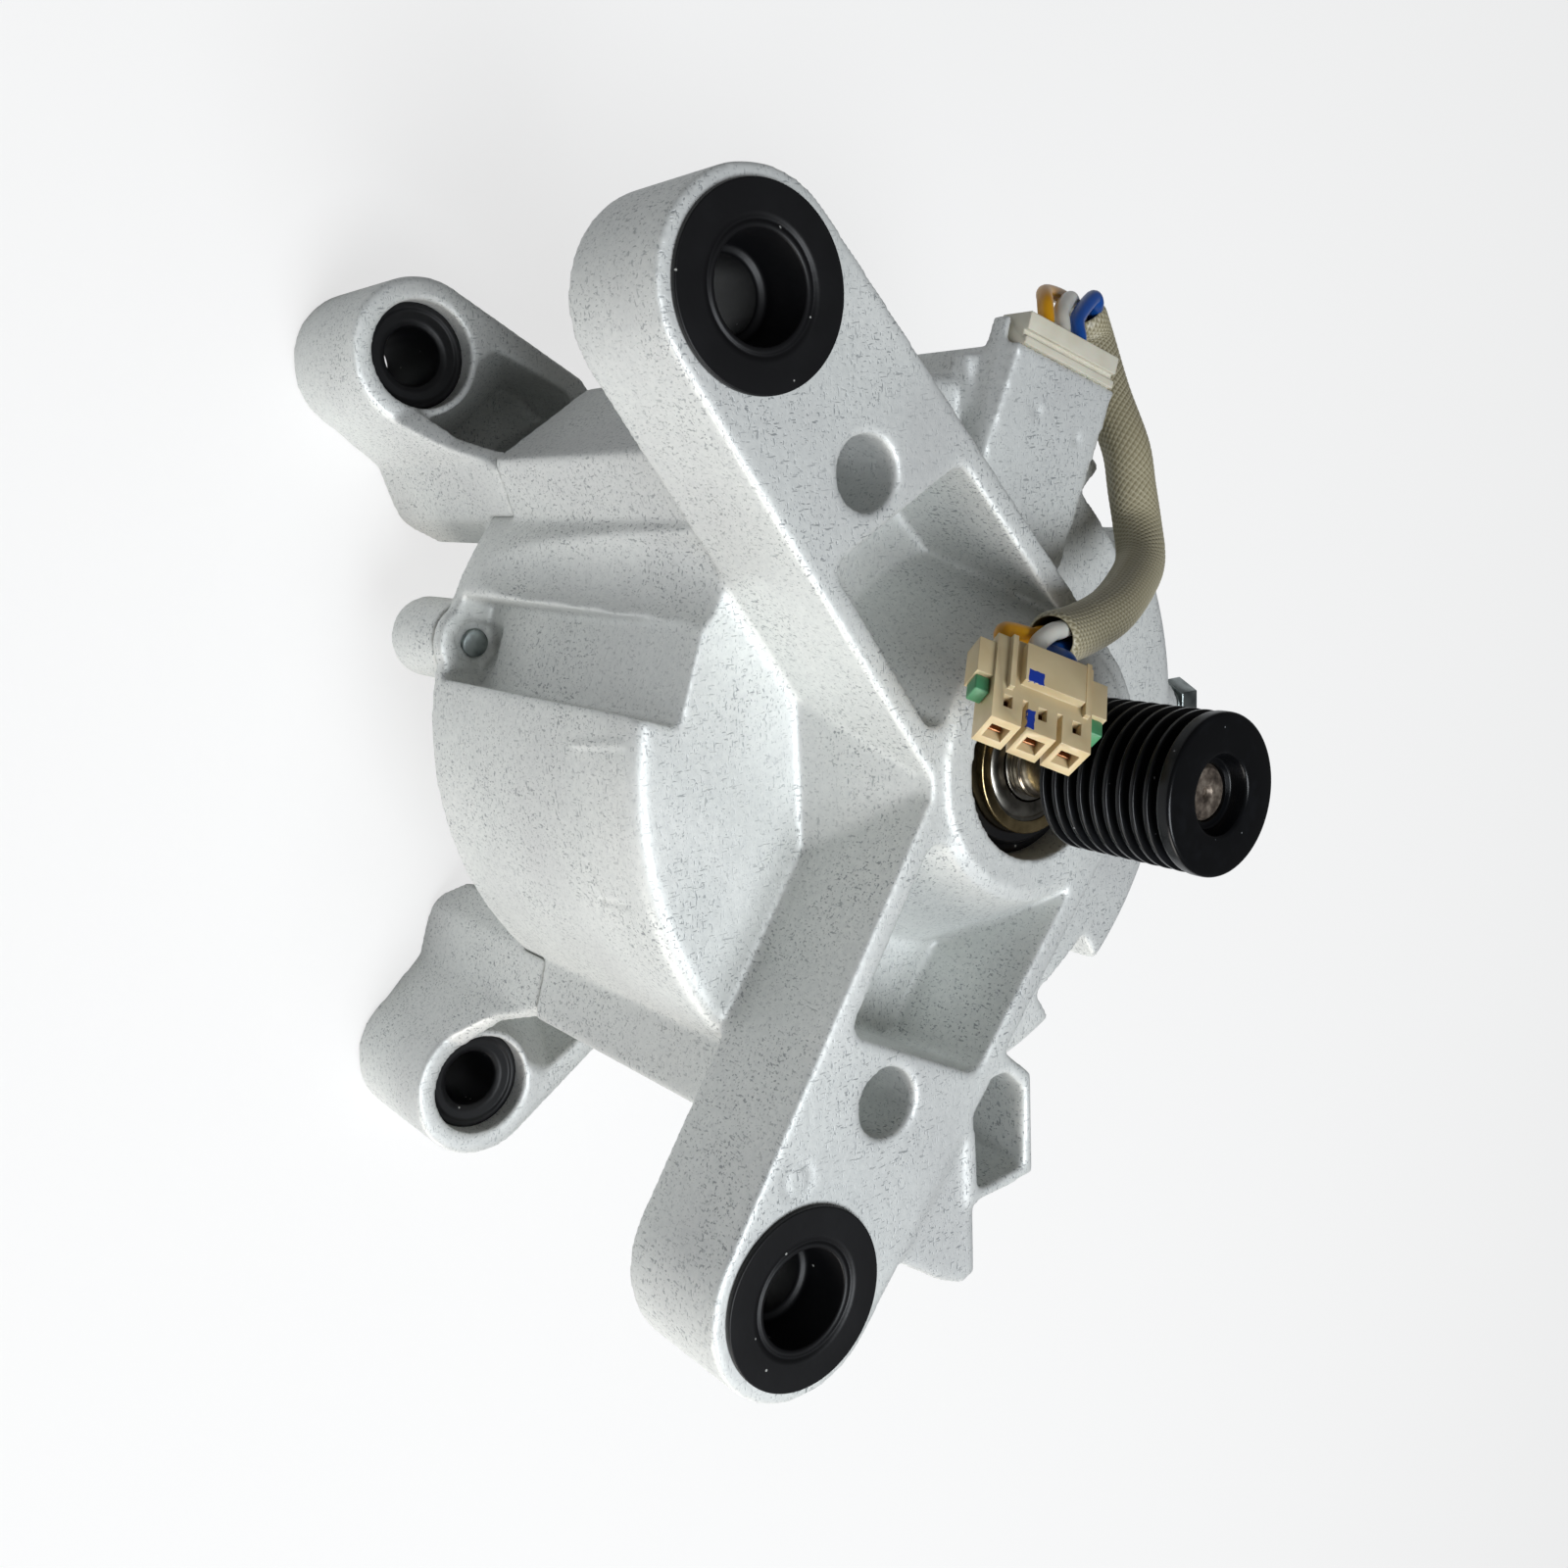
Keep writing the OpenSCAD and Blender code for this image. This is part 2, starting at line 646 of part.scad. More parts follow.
module front_bushings() {
  color(rubber_colour) both_sides() translate([lug_x, lug_y, 0]) difference() {
    union() {
      translate([0, 0, cup_front_z]) cylinder(r = front_bush_r, h = arm_h);
      translate([0, 0, arm_z]) cylinder(r = front_flange_r, h = front_flange_h);
    }
    translate([0, 0, cup_front_z - cut]) cylinder(r = bolt_bore_r, h = arm_h + 2);
    translate([0, 0, arm_z + front_flange_h - dish_depth]) cylinder(r = dish_r, h = dish_depth + cut);
  }
}

module rear_bushings() {
  color(rubber_colour) both_sides() translate([lug_x, lug_y, 0])
    ring(rear_bush_r, bolt_bore_r, rear_lug_h - rear_bush_set);
}

module housing_screws() {
  color(steel_colour) at_bosses() {
    translate([0, 0, boss_rear_z - 3.5]) cylinder(r = 4.2, h = 3.5);
    translate([0, 0, boss_rear_z]) cylinder(r = screw_r, h = ear_z - boss_rear_z - 0.4);
  }
}

// One tooth of the stator with its shoe
module tooth() {
  box([stator_bore + 0.6, -tooth_w / 2, 0], [stator_r - yoke_t + 1, tooth_w / 2, stator_h]);
  intersection() {
    box([0, -6, 0], [stator_bore + shoe_h, 6, stator_h]);
    ring(stator_bore + shoe_h, stator_bore, stator_h);
  }
}

module at_teeth(start, stride) {
  for (i = [start:stride:tooth_count - 1]) rotate([0, 0, i * 360 / tooth_count]) children();
}

module stator_core() {
  color(steel_colour) translate([0, 0, stator_z]) {
    ring(stator_r, stator_r - yoke_t, stator_h);
    at_teeth(0, 1) tooth();
  }
}

// End plate of the windings, with a cap on every tooth
module insulator() {
  ring(stator_r - yoke_t + 2.6, stator_r - yoke_t + 0.4, insulator_t + 2);
  at_teeth(0, 1)
    box([stator_bore + 1, -tooth_w / 2, 0], [stator_r - yoke_t + 1, tooth_w / 2, insulator_t]);
}

module front_insulator() {
  color("white") translate([0, 0, stator_top_z]) insulator();
}

module rear_insulator() {
  color("white") translate([0, 0, stator_z]) mirror([0, 0, 1]) insulator();
}

module coil() {
  half_h = stator_h / 2 + insulator_t + coil_gap;
  half_w = tooth_w / 2 + coil_gap;
  translate([0, 0, stator_z + stator_h / 2]) difference() {
    box([coil_inner_r, -half_w - coil_t, -half_h - coil_over],
      [coil_outer_r, half_w + coil_t, half_h + coil_over]);
    box([coil_inner_r - cut, -half_w, -half_h], [coil_outer_r + cut, half_w, half_h]);
  }
}

module coils_u() {
  color(copper_colour) at_teeth(0, 3) coil();
}

module coils_v() {
  color(copper_colour) at_teeth(1, 3) coil();
}

module coils_w() {
  color(copper_colour) at_teeth(2, 3) coil();
}

module shaft() {
  color([0.55, 0.5, 0.46]) rotate_extrude() polygon([[0, shaft_low_z], [shaft_r - 0.4, shaft_low_z],
    [shaft_r, shaft_low_z + 0.4], [shaft_r, step_low_z], [shaft_step_r, step_low_z],
    [shaft_step_r, ring_groove_z], [shaft_step_r - 0.5, ring_groove_z],
    [shaft_step_r - 0.5, ring_groove_z + 1.2], [shaft_step_r, ring_groove_z + 1.2],
    [shaft_step_r, step_high_z], [shaft_r, step_high_z], [shaft_r, shaft_top_z - 0.5],
    [shaft_r - 0.5, shaft_top_z], [0, shaft_top_z]]);
}

module rotor_core() {
  color(steel_colour) translate([0, 0, rotor_low_z])
    ring(rotor_r - magnet_skin - magnet_t, shaft_step_r, rotor_high_z - rotor_low_z);
}

module magnets() {
  pole_gap = 1;
  color([0.25, 0.25, 0.27]) translate([0, 0, rotor_low_z]) difference() {
    ring(rotor_r - magnet_skin, rotor_r - magnet_skin - magnet_t, rotor_high_z - rotor_low_z);
    for (i = [0:pole_count - 1]) rotate([0, 0, i * 360 / pole_count])
      box([10, -pole_gap / 2, -cut], [rotor_r + 1, pole_gap / 2, rotor_high_z]);
  }
}

module rotor_end_ring() {
  ring(rotor_r, shaft_step_r, end_ring_h);
}

module rotor_front_ring() {
  color("dimgray") translate([0, 0, rotor_high_z]) rotor_end_ring();
}

module rotor_rear_ring() {
  color("dimgray") translate([0, 0, rotor_low_z - end_ring_h]) rotor_end_ring();
}

// Bearing pieces, each standing on its rear face at height 0
module race_groove() {
  translate([ball_reach, bearing_w / 2]) circle(r = race_r);
}

module outer_ring() {
  color([0.66, 0.6, 0.48]) rotate_extrude() difference() {
    translate([outer_ring_bore, 0]) square([bearing_r - outer_ring_bore, bearing_w]);
    race_groove();
  }
}

module inner_ring() {
  color(steel_colour) rotate_extrude() difference() {
    translate([shaft_r, 0]) square([inner_ring_r - shaft_r, bearing_w]);
    race_groove();
  }
}

module at_balls() {
  for (i = [0:ball_count - 1]) rotate([0, 0, i * 360 / ball_count])
    translate([ball_reach, 0, bearing_w / 2]) children();
}

module cage() {
  color([0.75, 0.62, 0.3]) difference() {
    translate([0, 0, (bearing_w - cage_h) / 2])
      ring(ball_reach + cage_t / 2, ball_reach - cage_t / 2, cage_h);
    at_balls() rotate([0, 90, 0]) cylinder(r = ball_r + slip_gap, h = 2, center = true);
  }
}

module balls() {
  color("silver") at_balls() sphere(r = ball_r, $fn = 48);
}

module shields() {
  color("silver") for (z = [0.3, bearing_w - 0.3 - shield_t]) translate([0, 0, z])
    ring(shield_outer_r, shield_inner_r, shield_t);
}

module at_front_bearing() {
  translate([0, 0, front_bearing_z - bearing_w]) children();
}

module at_rear_bearing() {
  translate([0, 0, rear_bearing_z]) children();
}

module front_outer_ring() {
  at_front_bearing() outer_ring();
}

module front_inner_ring() {
  at_front_bearing() inner_ring();
}

module front_cage() {
  at_front_bearing() cage();
}

module front_balls() {
  at_front_bearing() balls();
}

module front_shields() {
  at_front_bearing() shields();
}

module rear_outer_ring() {
  at_rear_bearing() outer_ring();
}

module rear_inner_ring() {
  at_rear_bearing() inner_ring();
}

module rear_cage() {
  at_rear_bearing() cage();
}

module rear_balls() {
  at_rear_bearing() balls();
}

module rear_shields() {
  at_rear_bearing() shields();
}

module isolating_ring() {
  color(rubber_colour) rotate_extrude() polygon([[hub_hole_r + 0.2, hub_shoulder_z],
    [hub_bore_r, hub_shoulder_z], [hub_bore_r, iso_step_z], [iso_step_r, iso_step_z],
    [iso_step_r, iso_top_z], [bearing_r, iso_top_z], [bearing_r, hub_shoulder_z + iso_floor_h],
    [hub_hole_r + 0.2, hub_shoulder_z + iso_floor_h]]);
}

module wave_washer() {
  steps = 36;
  thick = 0.4;
  lift = (rear_bearing_z - bearing_seat_z - thick) / 2;
  function wave(i) = bearing_seat_z + lift * (1 - cos(3 * i * 360 / steps));
  points = [for (i = [0:steps - 1]) let (a = i * 360 / steps)
    each [for (c = [[9.4, 0], [10.8, 0], [10.8, thick], [9.4, thick]])
      [c[0] * cos(a), c[0] * sin(a), wave(i) + c[1]]]];
  faces = [for (i = [0:steps - 1]) for (k = [0:3])
    let (j = (i + 1) % steps, m = (k + 1) % 4) [4 * i + k, 4 * i + m, 4 * j + m, 4 * j + k]];
  color("silver") polyhedron(points, faces);
}

module retaining_ring() {
  color(steel_colour) translate([0, 0, ring_groove_z + 0.1]) difference() {
    ring(7, shaft_step_r - 0.45, 1);
    box([0, -1.2, -cut], [10, 1.2, 2]);
  }
}

module shaft_spacer() {
  color("silver") translate([0, 0, front_bearing_z])
    ring(spacer_r, shaft_r, pulley_rear_z - front_bearing_z);
}

module pulley() {
  ribs_z = pulley_rear_z + pulley_collar_h;
  groove_points = [for (i = [0:rib_count - 1]) let (z = ribs_z + i * rib_pitch)
    each [[rib_top_r, z + 0.35], [rib_top_r - groove_depth, z + rib_pitch / 2 - 0.2],
      [rib_top_r - groove_depth, z + rib_pitch / 2 + 0.2], [rib_top_r, z + rib_pitch - 0.35]]];
  color([0.04, 0.04, 0.05]) rotate_extrude() polygon(concat(
    [[shaft_r, pulley_rear_z], [rib_top_r - groove_depth, pulley_rear_z], [rib_top_r, ribs_z - 0.3]],
    groove_points,
    [[pulley_r, pulley_front_z - pulley_front_flange_h], [pulley_r, pulley_front_z - 0.5],
      [pulley_r - 0.5, pulley_front_z], [pulley_recess_r, pulley_front_z],
      [pulley_recess_r - 0.6, shaft_top_z], [shaft_r, shaft_top_z]]));
}

module header_body() {
  color(nylon_colour) at_tower() difference() {
    union() {
      box([slot_inner + 0.5, -slot_w / 2 + slip_gap, slot_low_z + slip_gap],
        [tower_reach + cut, slot_w / 2 - slip_gap, slot_high_z - slip_gap]);
      box([tower_reach, -plug_w / 2, head_low_z], [head_top, plug_w / 2, head_high_z]);
    }
    box([tower_reach + 1.3, -plug_w, head_high_z - 0.8],
      [tower_reach + 1.3 + head_groove_h, plug_w, head_high_z + cut]);
    for (y = [-4, 0, 4]) box([slot_inner, y - 1.2, pin_z - 0.4], [60, y + 1.2, pin_z + 0.4]);
  }
}

module header_pins() {
  color(copper_colour) at_tower()
    for (y = [-4, 0, 4]) box([pin_inner, y - 1.2, pin_z - 0.4], [60, y + 1.2, pin_z + 0.4]);
}

// A point of the tower's frame in the part's frame
function from_tower(reach, side, z) = [reach * cos(tower_turn) + side * sin(tower_turn),
  side * cos(tower_turn) - reach * sin(tower_turn), z];

// Upper run of a wire, from the header over its bends and down into the sleeve's mouth
function upper_run(side, bends, mouth) = concat(
  [from_tower(head_top, side, head_low_z + 3)],
  smooth_route(concat([from_tower(head_top + wire_stub, side, head_low_z + 3)], bends,
    [sleeve_mouth - [sleeve_mouth_in, 0, 0] + mouth]), 2));

// Lower run of a wire, from the sleeve's end over its bends into the connector
function lower_run(row, bends, angle) =
  let (entry = wire_side + row * contact_pitch * along_row)
  concat(smooth_route(concat([sleeve_end + across_end(angle) - [0, sleeve_mouth_in, 0.4]], bends,
    [entry + wire_stub * to_wires]), 2), [entry]);

// Offset of a wire from the middle of the sleeve's end
function across_end(angle) = end_spread * [cos(angle), 0, sin(angle)];

// Offset of a wire from the middle of the sleeve's mouth
function across_mouth(angle) = mouth_spread * [0, cos(angle), sin(angle)];

module wire(upper, lower) {
  cord_tube(upper, wire_r, 8, [0, 0, 1]);
  cord_tube(lower, wire_r, 8, [1, 0, 0]);
}

module yellow_wire() {
  color([0.85, 0.6, 0.05]) wire(
    upper_run(4.2, [[69.8, -21.1, 108], [71.7, -25.6, 104.1], [71.5, -35.1, 99.4],
      [69.4, -38.4, 99.1]], across_mouth(257)),
    lower_run(-1, [[20.9, 11, 134.3], [22.5, 17.4, 135]], -75));
}

module white_wire() {
  color("white") wire(
    upper_run(0.2, [[68.4, -24.9, 108], [70.8, -31.5, 104], [70.1, -33.7, 102.8],
      [69.3, -35.7, 101.8]], across_mouth(17)),
    lower_run(0, [[21.7, 11, 137.3], [20.5, 13.5, 137.3]], 45));
}

module blue_wire() {
  color([0.05, 0.2, 0.6]) wire(
    upper_run(-3.8, [[67.1, -28.7, 108], [70.8, -35.6, 105.2], [70.3, -37.6, 104.4],
      [69.2, -39.1, 102.8]], across_mouth(137)),
    lower_run(1, [[18.7, 10.4, 136.5], [18.1, 10.4, 139.3]], 165));
}

module braided_sleeve() {
  color([0.83, 0.82, 0.76]) cord_tube(smooth_route(sleeve_route, 2), sleeve_r, 12, [0.3, 0.6, -0.8]);
}

// Frame of the lead's connector: X along its row, Y to its wires, Z to its latch side
module at_connector() {
  multmatrix([
    [along_row[0], to_wires[0], to_latch[0], connector_face[0]],
    [along_row[1], to_wires[1], to_latch[1], connector_face[1]],
    [along_row[2], to_wires[2], to_latch[2], connector_face[2]],
    [0, 0, 0, 1]]) children();
}

module at_contacts() {
  for (i = [-1, 0, 1]) translate([i * contact_pitch, 0, 0]) children();
}

module connector_housing() {
  low = -plug_t / 2;
  high = plug_t / 2;
  color(nylon_colour) at_connector() difference() {
    union() {
      box([-connector_w / 2, 0, low], [connector_w / 2, plug_len, high]);
      box([-3.4, 7, high - cut], [5.4, plug_len - 1, high + 1.3]);
      for (x = [-4.9, 6.1]) box([x - 0.4, 5.5, high - cut], [x + 0.4, plug_len, high + 0.8]);
      box([-ear_reach, 7, -1.4], [ear_reach, plug_len - 1.5, 2.4]);
    }
    at_contacts() {
      box([-chamber_w / 2, -cut, -chamber_h / 2], [chamber_w / 2, chamber_depth, chamber_h / 2]);
      translate([0, 2.4, 0]) box([-0.6, 0, chamber_h / 2 - cut], [0.6, 2, high + cut]);
    }
    for (s = [-1, 1]) translate([s * contact_pitch / 2, 0, 0])
      box([-0.35, -cut, low - cut], [0.35, 4.6, high + cut]);
  }
}

module connector_locks() {
  color([0.2, 0.55, 0.3]) at_connector() for (s = [-1, 1])
    translate([s * (connector_w / 2 + 1.15), 5.75, 0.4])
      cube([2.1, 2.5, 2.8], center = true);
}

module connector_contacts() {
  color(copper_colour) at_connector() at_contacts() {
    box([-1.1, 1.2, -1.2], [1.1, chamber_depth, -0.8]);
    box([-1.1, 1.2, 0.6], [1.1, chamber_depth, 1]);
    box([-1.1, chamber_depth - 1, -1.2], [1.1, chamber_depth, 1]);
  }
}

module earth_screw() {
  hex_low = earth_hex_at - earth_boss_end;
  tag_top = earth_washer_t + earth_tag_t;
  color([0.62, 0.66, 0.66]) at_earth(earth_boss_end) {
    translate([0, 0, -6]) cylinder(r = 1.95, h = 6 + hex_low);
    translate([0, 0, tag_top]) cylinder(r = 3.2, h = hex_low - tag_top);
    translate([0, 0, hex_low]) cylinder(d = hex_af / cos(30), h = earth_hex_h, $fn = 6);
  }
}

module earth_washer() {
  color(steel_colour) at_earth(earth_boss_end) ring(5.4, 2.05, earth_washer_t);
}

module earth_terminal() {
  color([0.4, 0.4, 0.36]) at_earth(earth_boss_end + earth_washer_t) difference() {
    cylinder(r = 4.3, h = earth_tag_t);
    translate([0, 0, -cut]) cylinder(r = 2.05, h = earth_tag_t + 2 * cut);
  }
}

front_housing();
rear_bracket();
front_bushings();
rear_bushings();
housing_screws();
stator_core();
front_insulator();
rear_insulator();
coils_u();
coils_v();
coils_w();
shaft();
rotor_core();
magnets();
rotor_front_ring();
rotor_rear_ring();
front_outer_ring();
front_inner_ring();
front_cage();
front_balls();
front_shields();
rear_outer_ring();
rear_inner_ring();
rear_cage();
rear_balls();
rear_shields();
isolating_ring();
wave_washer();
retaining_ring();
shaft_spacer();
pulley();
header_body();
header_pins();
yellow_wire();
white_wire();
blue_wire();
braided_sleeve();
connector_housing();
connector_locks();
connector_contacts();
earth_screw();
earth_washer();
earth_terminal();
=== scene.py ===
"""Looks of a belt-drive washing machine motor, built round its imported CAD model."""

import math

import bmesh
import bpy
import numpy as np
from mathutils import Matrix, Vector


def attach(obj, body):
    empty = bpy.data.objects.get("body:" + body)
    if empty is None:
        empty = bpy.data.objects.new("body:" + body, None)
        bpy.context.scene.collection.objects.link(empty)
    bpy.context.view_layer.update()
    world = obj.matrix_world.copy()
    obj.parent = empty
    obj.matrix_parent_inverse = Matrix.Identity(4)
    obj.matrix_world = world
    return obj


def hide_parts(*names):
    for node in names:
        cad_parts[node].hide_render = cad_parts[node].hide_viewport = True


bl_info = {
    "name": "Washing machine motor",
    "version": (1, 0, 0),
    "blender": (4, 5, 0),
    "location": "3D View > Sidebar > Motor",
    "description": "Dresses the CAD model of a belt-drive motor: castings, rubber, bearing, pulley and lead",
    "category": "Object",
}

MM = 0.001
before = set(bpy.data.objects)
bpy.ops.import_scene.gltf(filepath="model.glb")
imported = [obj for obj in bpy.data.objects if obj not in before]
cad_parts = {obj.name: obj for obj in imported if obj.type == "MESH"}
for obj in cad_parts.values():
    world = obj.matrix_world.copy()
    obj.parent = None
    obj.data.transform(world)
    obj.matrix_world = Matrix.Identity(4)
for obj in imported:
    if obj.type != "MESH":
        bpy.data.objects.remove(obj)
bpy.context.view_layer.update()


# Places on the motor, in millimetres in the part's frame

LUG_X, LUG_Y = 68.0, 49.6
CUP_R = 59.2
# Turn of each housing screw's boss in degrees, and its distance from the axis
BOSS_TURNS, BOSS_REACH = (70.4, 212.4, 310.4), 53.6
# Radii within which the castings' faces are machined
HUB_MACHINED_R, LUG_MACHINED_R, SEAT_MACHINED_R, REAR_LUG_MACHINED_R = 20.6, 12.2, 5.6, 9.9
# Radius of the bores that sit on the shaft
BORE_R = 4.02
BEARING_TOP, BEARING_WIDTH = 123.7, 7
PULLEY_REAR = 134.0

# The photograph's camera, solved from the motor's circles: its place in millimetres, its axes and its shift

CAMERA_AT = (47.3274, 167.5617, 278.4127)
CAMERA_RIGHT = (-0.04745, -0.80560, 0.59056)
CAMERA_DOWN = (-0.98479, 0.13668, 0.10731)
CAMERA_AHEAD = (-0.16717, -0.57648, -0.79983)
CAMERA_SHIFT = (0.0341, -0.0439)
SENSOR_MM = 36

# Lead route, in millimetres in the part's frame

SLEEVE_END = (20.5, 9, 135.5)
SLEEVE_MOUTH = (69, -38, 101)
SLEEVE_ROUTE = [
    SLEEVE_MOUTH, (64, -41, 100.5), (55, -39.5, 105), (46, -38, 110.2), (39.5, -37, 112.2),
    (33, -36, 114.2), (28, -32, 118), (25, -25, 122), (22, -12, 128.5), (20.5, 0, 132.5), SLEEVE_END,
]
# Of each wire: colour, place on the header, bends to the sleeve and angle in its mouth;
# then place at the connector, bends to it and angle in the sleeve's end
WIRES = (
    ("yellow", 4.2, ((69.8, -21.1, 108), (71.7, -25.6, 104.1), (71.5, -35.1, 99.4), (69.4, -38.4, 99.1)),
     257, -1, ((20.9, 11, 134.3), (22.5, 17.4, 135)), -75),
    ("white", 0.2, ((68.4, -24.9, 108), (70.8, -31.5, 104), (70.1, -33.7, 102.8), (69.3, -35.7, 101.8)),
     17, 0, ((21.7, 11, 137.3), (20.5, 13.5, 137.3)), 45),
    ("blue", -3.8, ((67.1, -28.7, 108), (70.8, -35.6, 105.2), (70.3, -37.6, 104.4), (69.2, -39.1, 102.8)),
     137, 1, ((18.7, 10.4, 136.5), (18.1, 10.4, 139.3)), 165),
)
# How far the wires lie from the sleeve's middle, at its mouth and further in
MOUTH_SPREAD = 1.9
END_SPREAD = 1.8
# Straight step between the points of a wire's stub
WIRE_STUB = 1.2
TOWER_TURN = math.radians(19.5)
HEADER_TOP = 68.0
HEADER_LOW = 107.0
PLUG_LEN = 14.5
CONTACT_PITCH = 5.0
CONNECTOR_FACE = Vector((8.9, 24.5, 145.8))


def connector_axes():
    """Directions of the lead's connector: along its row, to its wires, to its latch."""
    turn, rise, roll = (math.radians(a) for a in (-117.6, 26.8, -32))
    row = Vector((math.cos(rise) * math.cos(turn), math.cos(rise) * math.sin(turn), math.sin(rise)))
    side = Vector((-math.sin(turn), math.cos(turn), 0))
    wires = math.cos(roll) * side + math.sin(roll) * row.cross(side)
    return row, wires, row.cross(wires)


def from_tower(reach, side, z):
    """A point of the connector tower's frame in the part's frame."""
    c, s = math.cos(TOWER_TURN), math.sin(TOWER_TURN)
    return Vector((reach * c + side * s, side * c - reach * s, z))


def smooth_route(points, steps):
    """Points of a smooth curve through the given ones."""
    p = [np.array(q, float) for q in points]
    route = []
    for i in range(len(p) - 1):
        a, b, c, d = p[max(i - 1, 0)], p[i], p[i + 1], p[min(i + 2, len(p) - 1)]
        for k in range(steps):
            t = k / steps
            route.append(0.5 * (2 * b + (c - a) * t + (2 * a - 5 * b + 4 * c - d) * t * t
                                + (3 * b - a - 3 * c + d) * t ** 3))
    return np.array(route + [p[-1]])


def route_frames(route, up):
    """Two unit vectors across the route at each of its points, without twist."""
    ahead = np.gradient(route, axis=0)
    ahead /= np.linalg.norm(ahead, axis=1)[:, None]
    side = np.cross(ahead[0], up)
    side /= np.linalg.norm(side)
    sides = []
    for t in ahead:
        side = side - t * (side @ t)
        side = side / np.linalg.norm(side)
        sides.append(side)
    sides = np.array(sides)
    return sides, np.cross(ahead, sides)


# Settings


class CastingSettings(bpy.types.PropertyGroup):
    """Die-cast housing and bracket."""

    skin_cell: bpy.props.FloatProperty(
        name="Skin cell", description="Grid size of the castings' skins, in millimetres",
        default=0.6, min=0.4, max=2)
    soft_passes: bpy.props.IntProperty(
        name="Edge softness", description="Smoothing passes that round the cast edges",
        default=4, min=0, max=40)
    metal: bpy.props.StringProperty(
        name="Metal", description="Colour of the cast aluminium, as sRGB hex", default="#e3e5e2")
    fleck: bpy.props.StringProperty(
        name="Flecks", description="Colour of the dark flecks, as sRGB hex", default="#5f666c")


class RubberSettings(bpy.types.PropertyGroup):
    """Bushings and isolating ring."""

    colour: bpy.props.StringProperty(
        name="Rubber", description="Colour of the rubber, as sRGB hex", default="#0c0c0e")
    dust: bpy.props.StringProperty(
        name="Dust", description="Colour of the dust specks, as sRGB hex", default="#a9a9a5")


class PulleySettings(bpy.types.PropertyGroup):
    """Belt pulley."""

    radius: bpy.props.FloatProperty(
        name="Radius", description="Outer radius in millimetres", default=11.25, min=10, max=12)
    rib_pitch: bpy.props.FloatProperty(
        name="Rib pitch", description="Distance between ribs in millimetres", default=2.25, min=2, max=2.5)
    rib_count: bpy.props.IntProperty(
        name="Ribs", description="Number of belt ribs", default=9, min=3, max=9)
    groove: bpy.props.FloatProperty(
        name="Groove depth", description="Depth of the grooves in millimetres", default=2.0, min=1, max=2.4)


class LeadSettings(bpy.types.PropertyGroup):
    """Lead from the header to its connector."""

    sleeve_radius: bpy.props.FloatProperty(
        name="Sleeve radius", description="Outer radius of the braided sleeve in millimetres",
        default=4.0, min=3.4, max=4.2)
    wire_radius: bpy.props.FloatProperty(
        name="Wire radius", description="Radius of an insulated wire in millimetres",
        default=1.3, min=1, max=1.4)
    strand_pitch: bpy.props.FloatProperty(
        name="Strand pitch", description="Distance between the braid's crossings in millimetres",
        default=1.15, min=0.8, max=2)


class StageSettings(bpy.types.PropertyGroup):
    """Floor, light and camera."""

    floor: bpy.props.StringProperty(
        name="Floor", description="Colour of the floor, as sRGB hex", default="#f4f4f3")
    key: bpy.props.FloatProperty(
        name="Key light", description="Strength of the key light in watts", default=5.6, min=0)
    fill: bpy.props.FloatProperty(
        name="World light", description="Strength of the world light", default=0.1, min=0)
    lens: bpy.props.FloatProperty(
        name="Lens", description="Focal length in millimetres", default=34.65, min=20, max=80)


# Materials

# A pattern at scale 1 repeats about once a metre, so a feature's scale is METRE over its size in millimetres
METRE = 1000
# The Mix node's sockets for colours
COLOUR_A, COLOUR_B, MIXED = 6, 7, 2


def linear(hex_colour):
    """Linear RGBA of an sRGB hex colour."""
    raw = [int(hex_colour[i:i + 2], 16) / 255 for i in (1, 3, 5)]
    return [c / 12.92 if c <= 0.04045 else ((c + 0.055) / 1.055) ** 2.4 for c in raw] + [1.0]


def add(tree, kind, settings=None, links=None):
    """Adds a node of that kind, with its settings and links.

    A setting is an option, an input's value, or a ramp's stops as positions and hex colours.
    A link names the socket that feeds an input, or a node whose first output does.
    """
    node = tree.nodes.new(kind)
    for key, value in (settings or {}).items():
        if key == "stops":
            band = node.color_ramp
            while len(band.elements) < len(value):
                band.elements.new(0.5)
            for element, (position, colour) in zip(band.elements, value):
                element.position = position
                element.color = linear(colour)
        elif isinstance(key, str) and key not in node.inputs:
            setattr(node, key, value)
        else:
            node.inputs[key].default_value = value
    for key, source in (links or {}).items():
        socket = source.outputs[0] if isinstance(source, bpy.types.Node) else source
        tree.links.new(socket, node.inputs[key])
    return node


def material(name, **finish):
    """New material with its shader set to finish; gives material, tree, shader and object coordinates."""
    mat = bpy.data.materials.new(name)
    mat.use_nodes = True
    shader = mat.node_tree.nodes["Principled BSDF"]
    for key, value in finish.items():
        shader.inputs[key.replace("_", " ")].default_value = value
    place = add(mat.node_tree, "ShaderNodeTexCoord").outputs["Object"]
    return mat, mat.node_tree, shader, place


def cover(tree, shader, tone, relief, depth_mm, strength):
    """Gives the shader its colour, and relief of that depth."""
    tree.links.new(tone, shader.inputs["Base Color"])
    bumps = add(tree, "ShaderNodeBump", {"Strength": strength, "Distance": depth_mm * MM}, {"Height": relief})
    tree.links.new(bumps.outputs["Normal"], shader.inputs["Normal"])


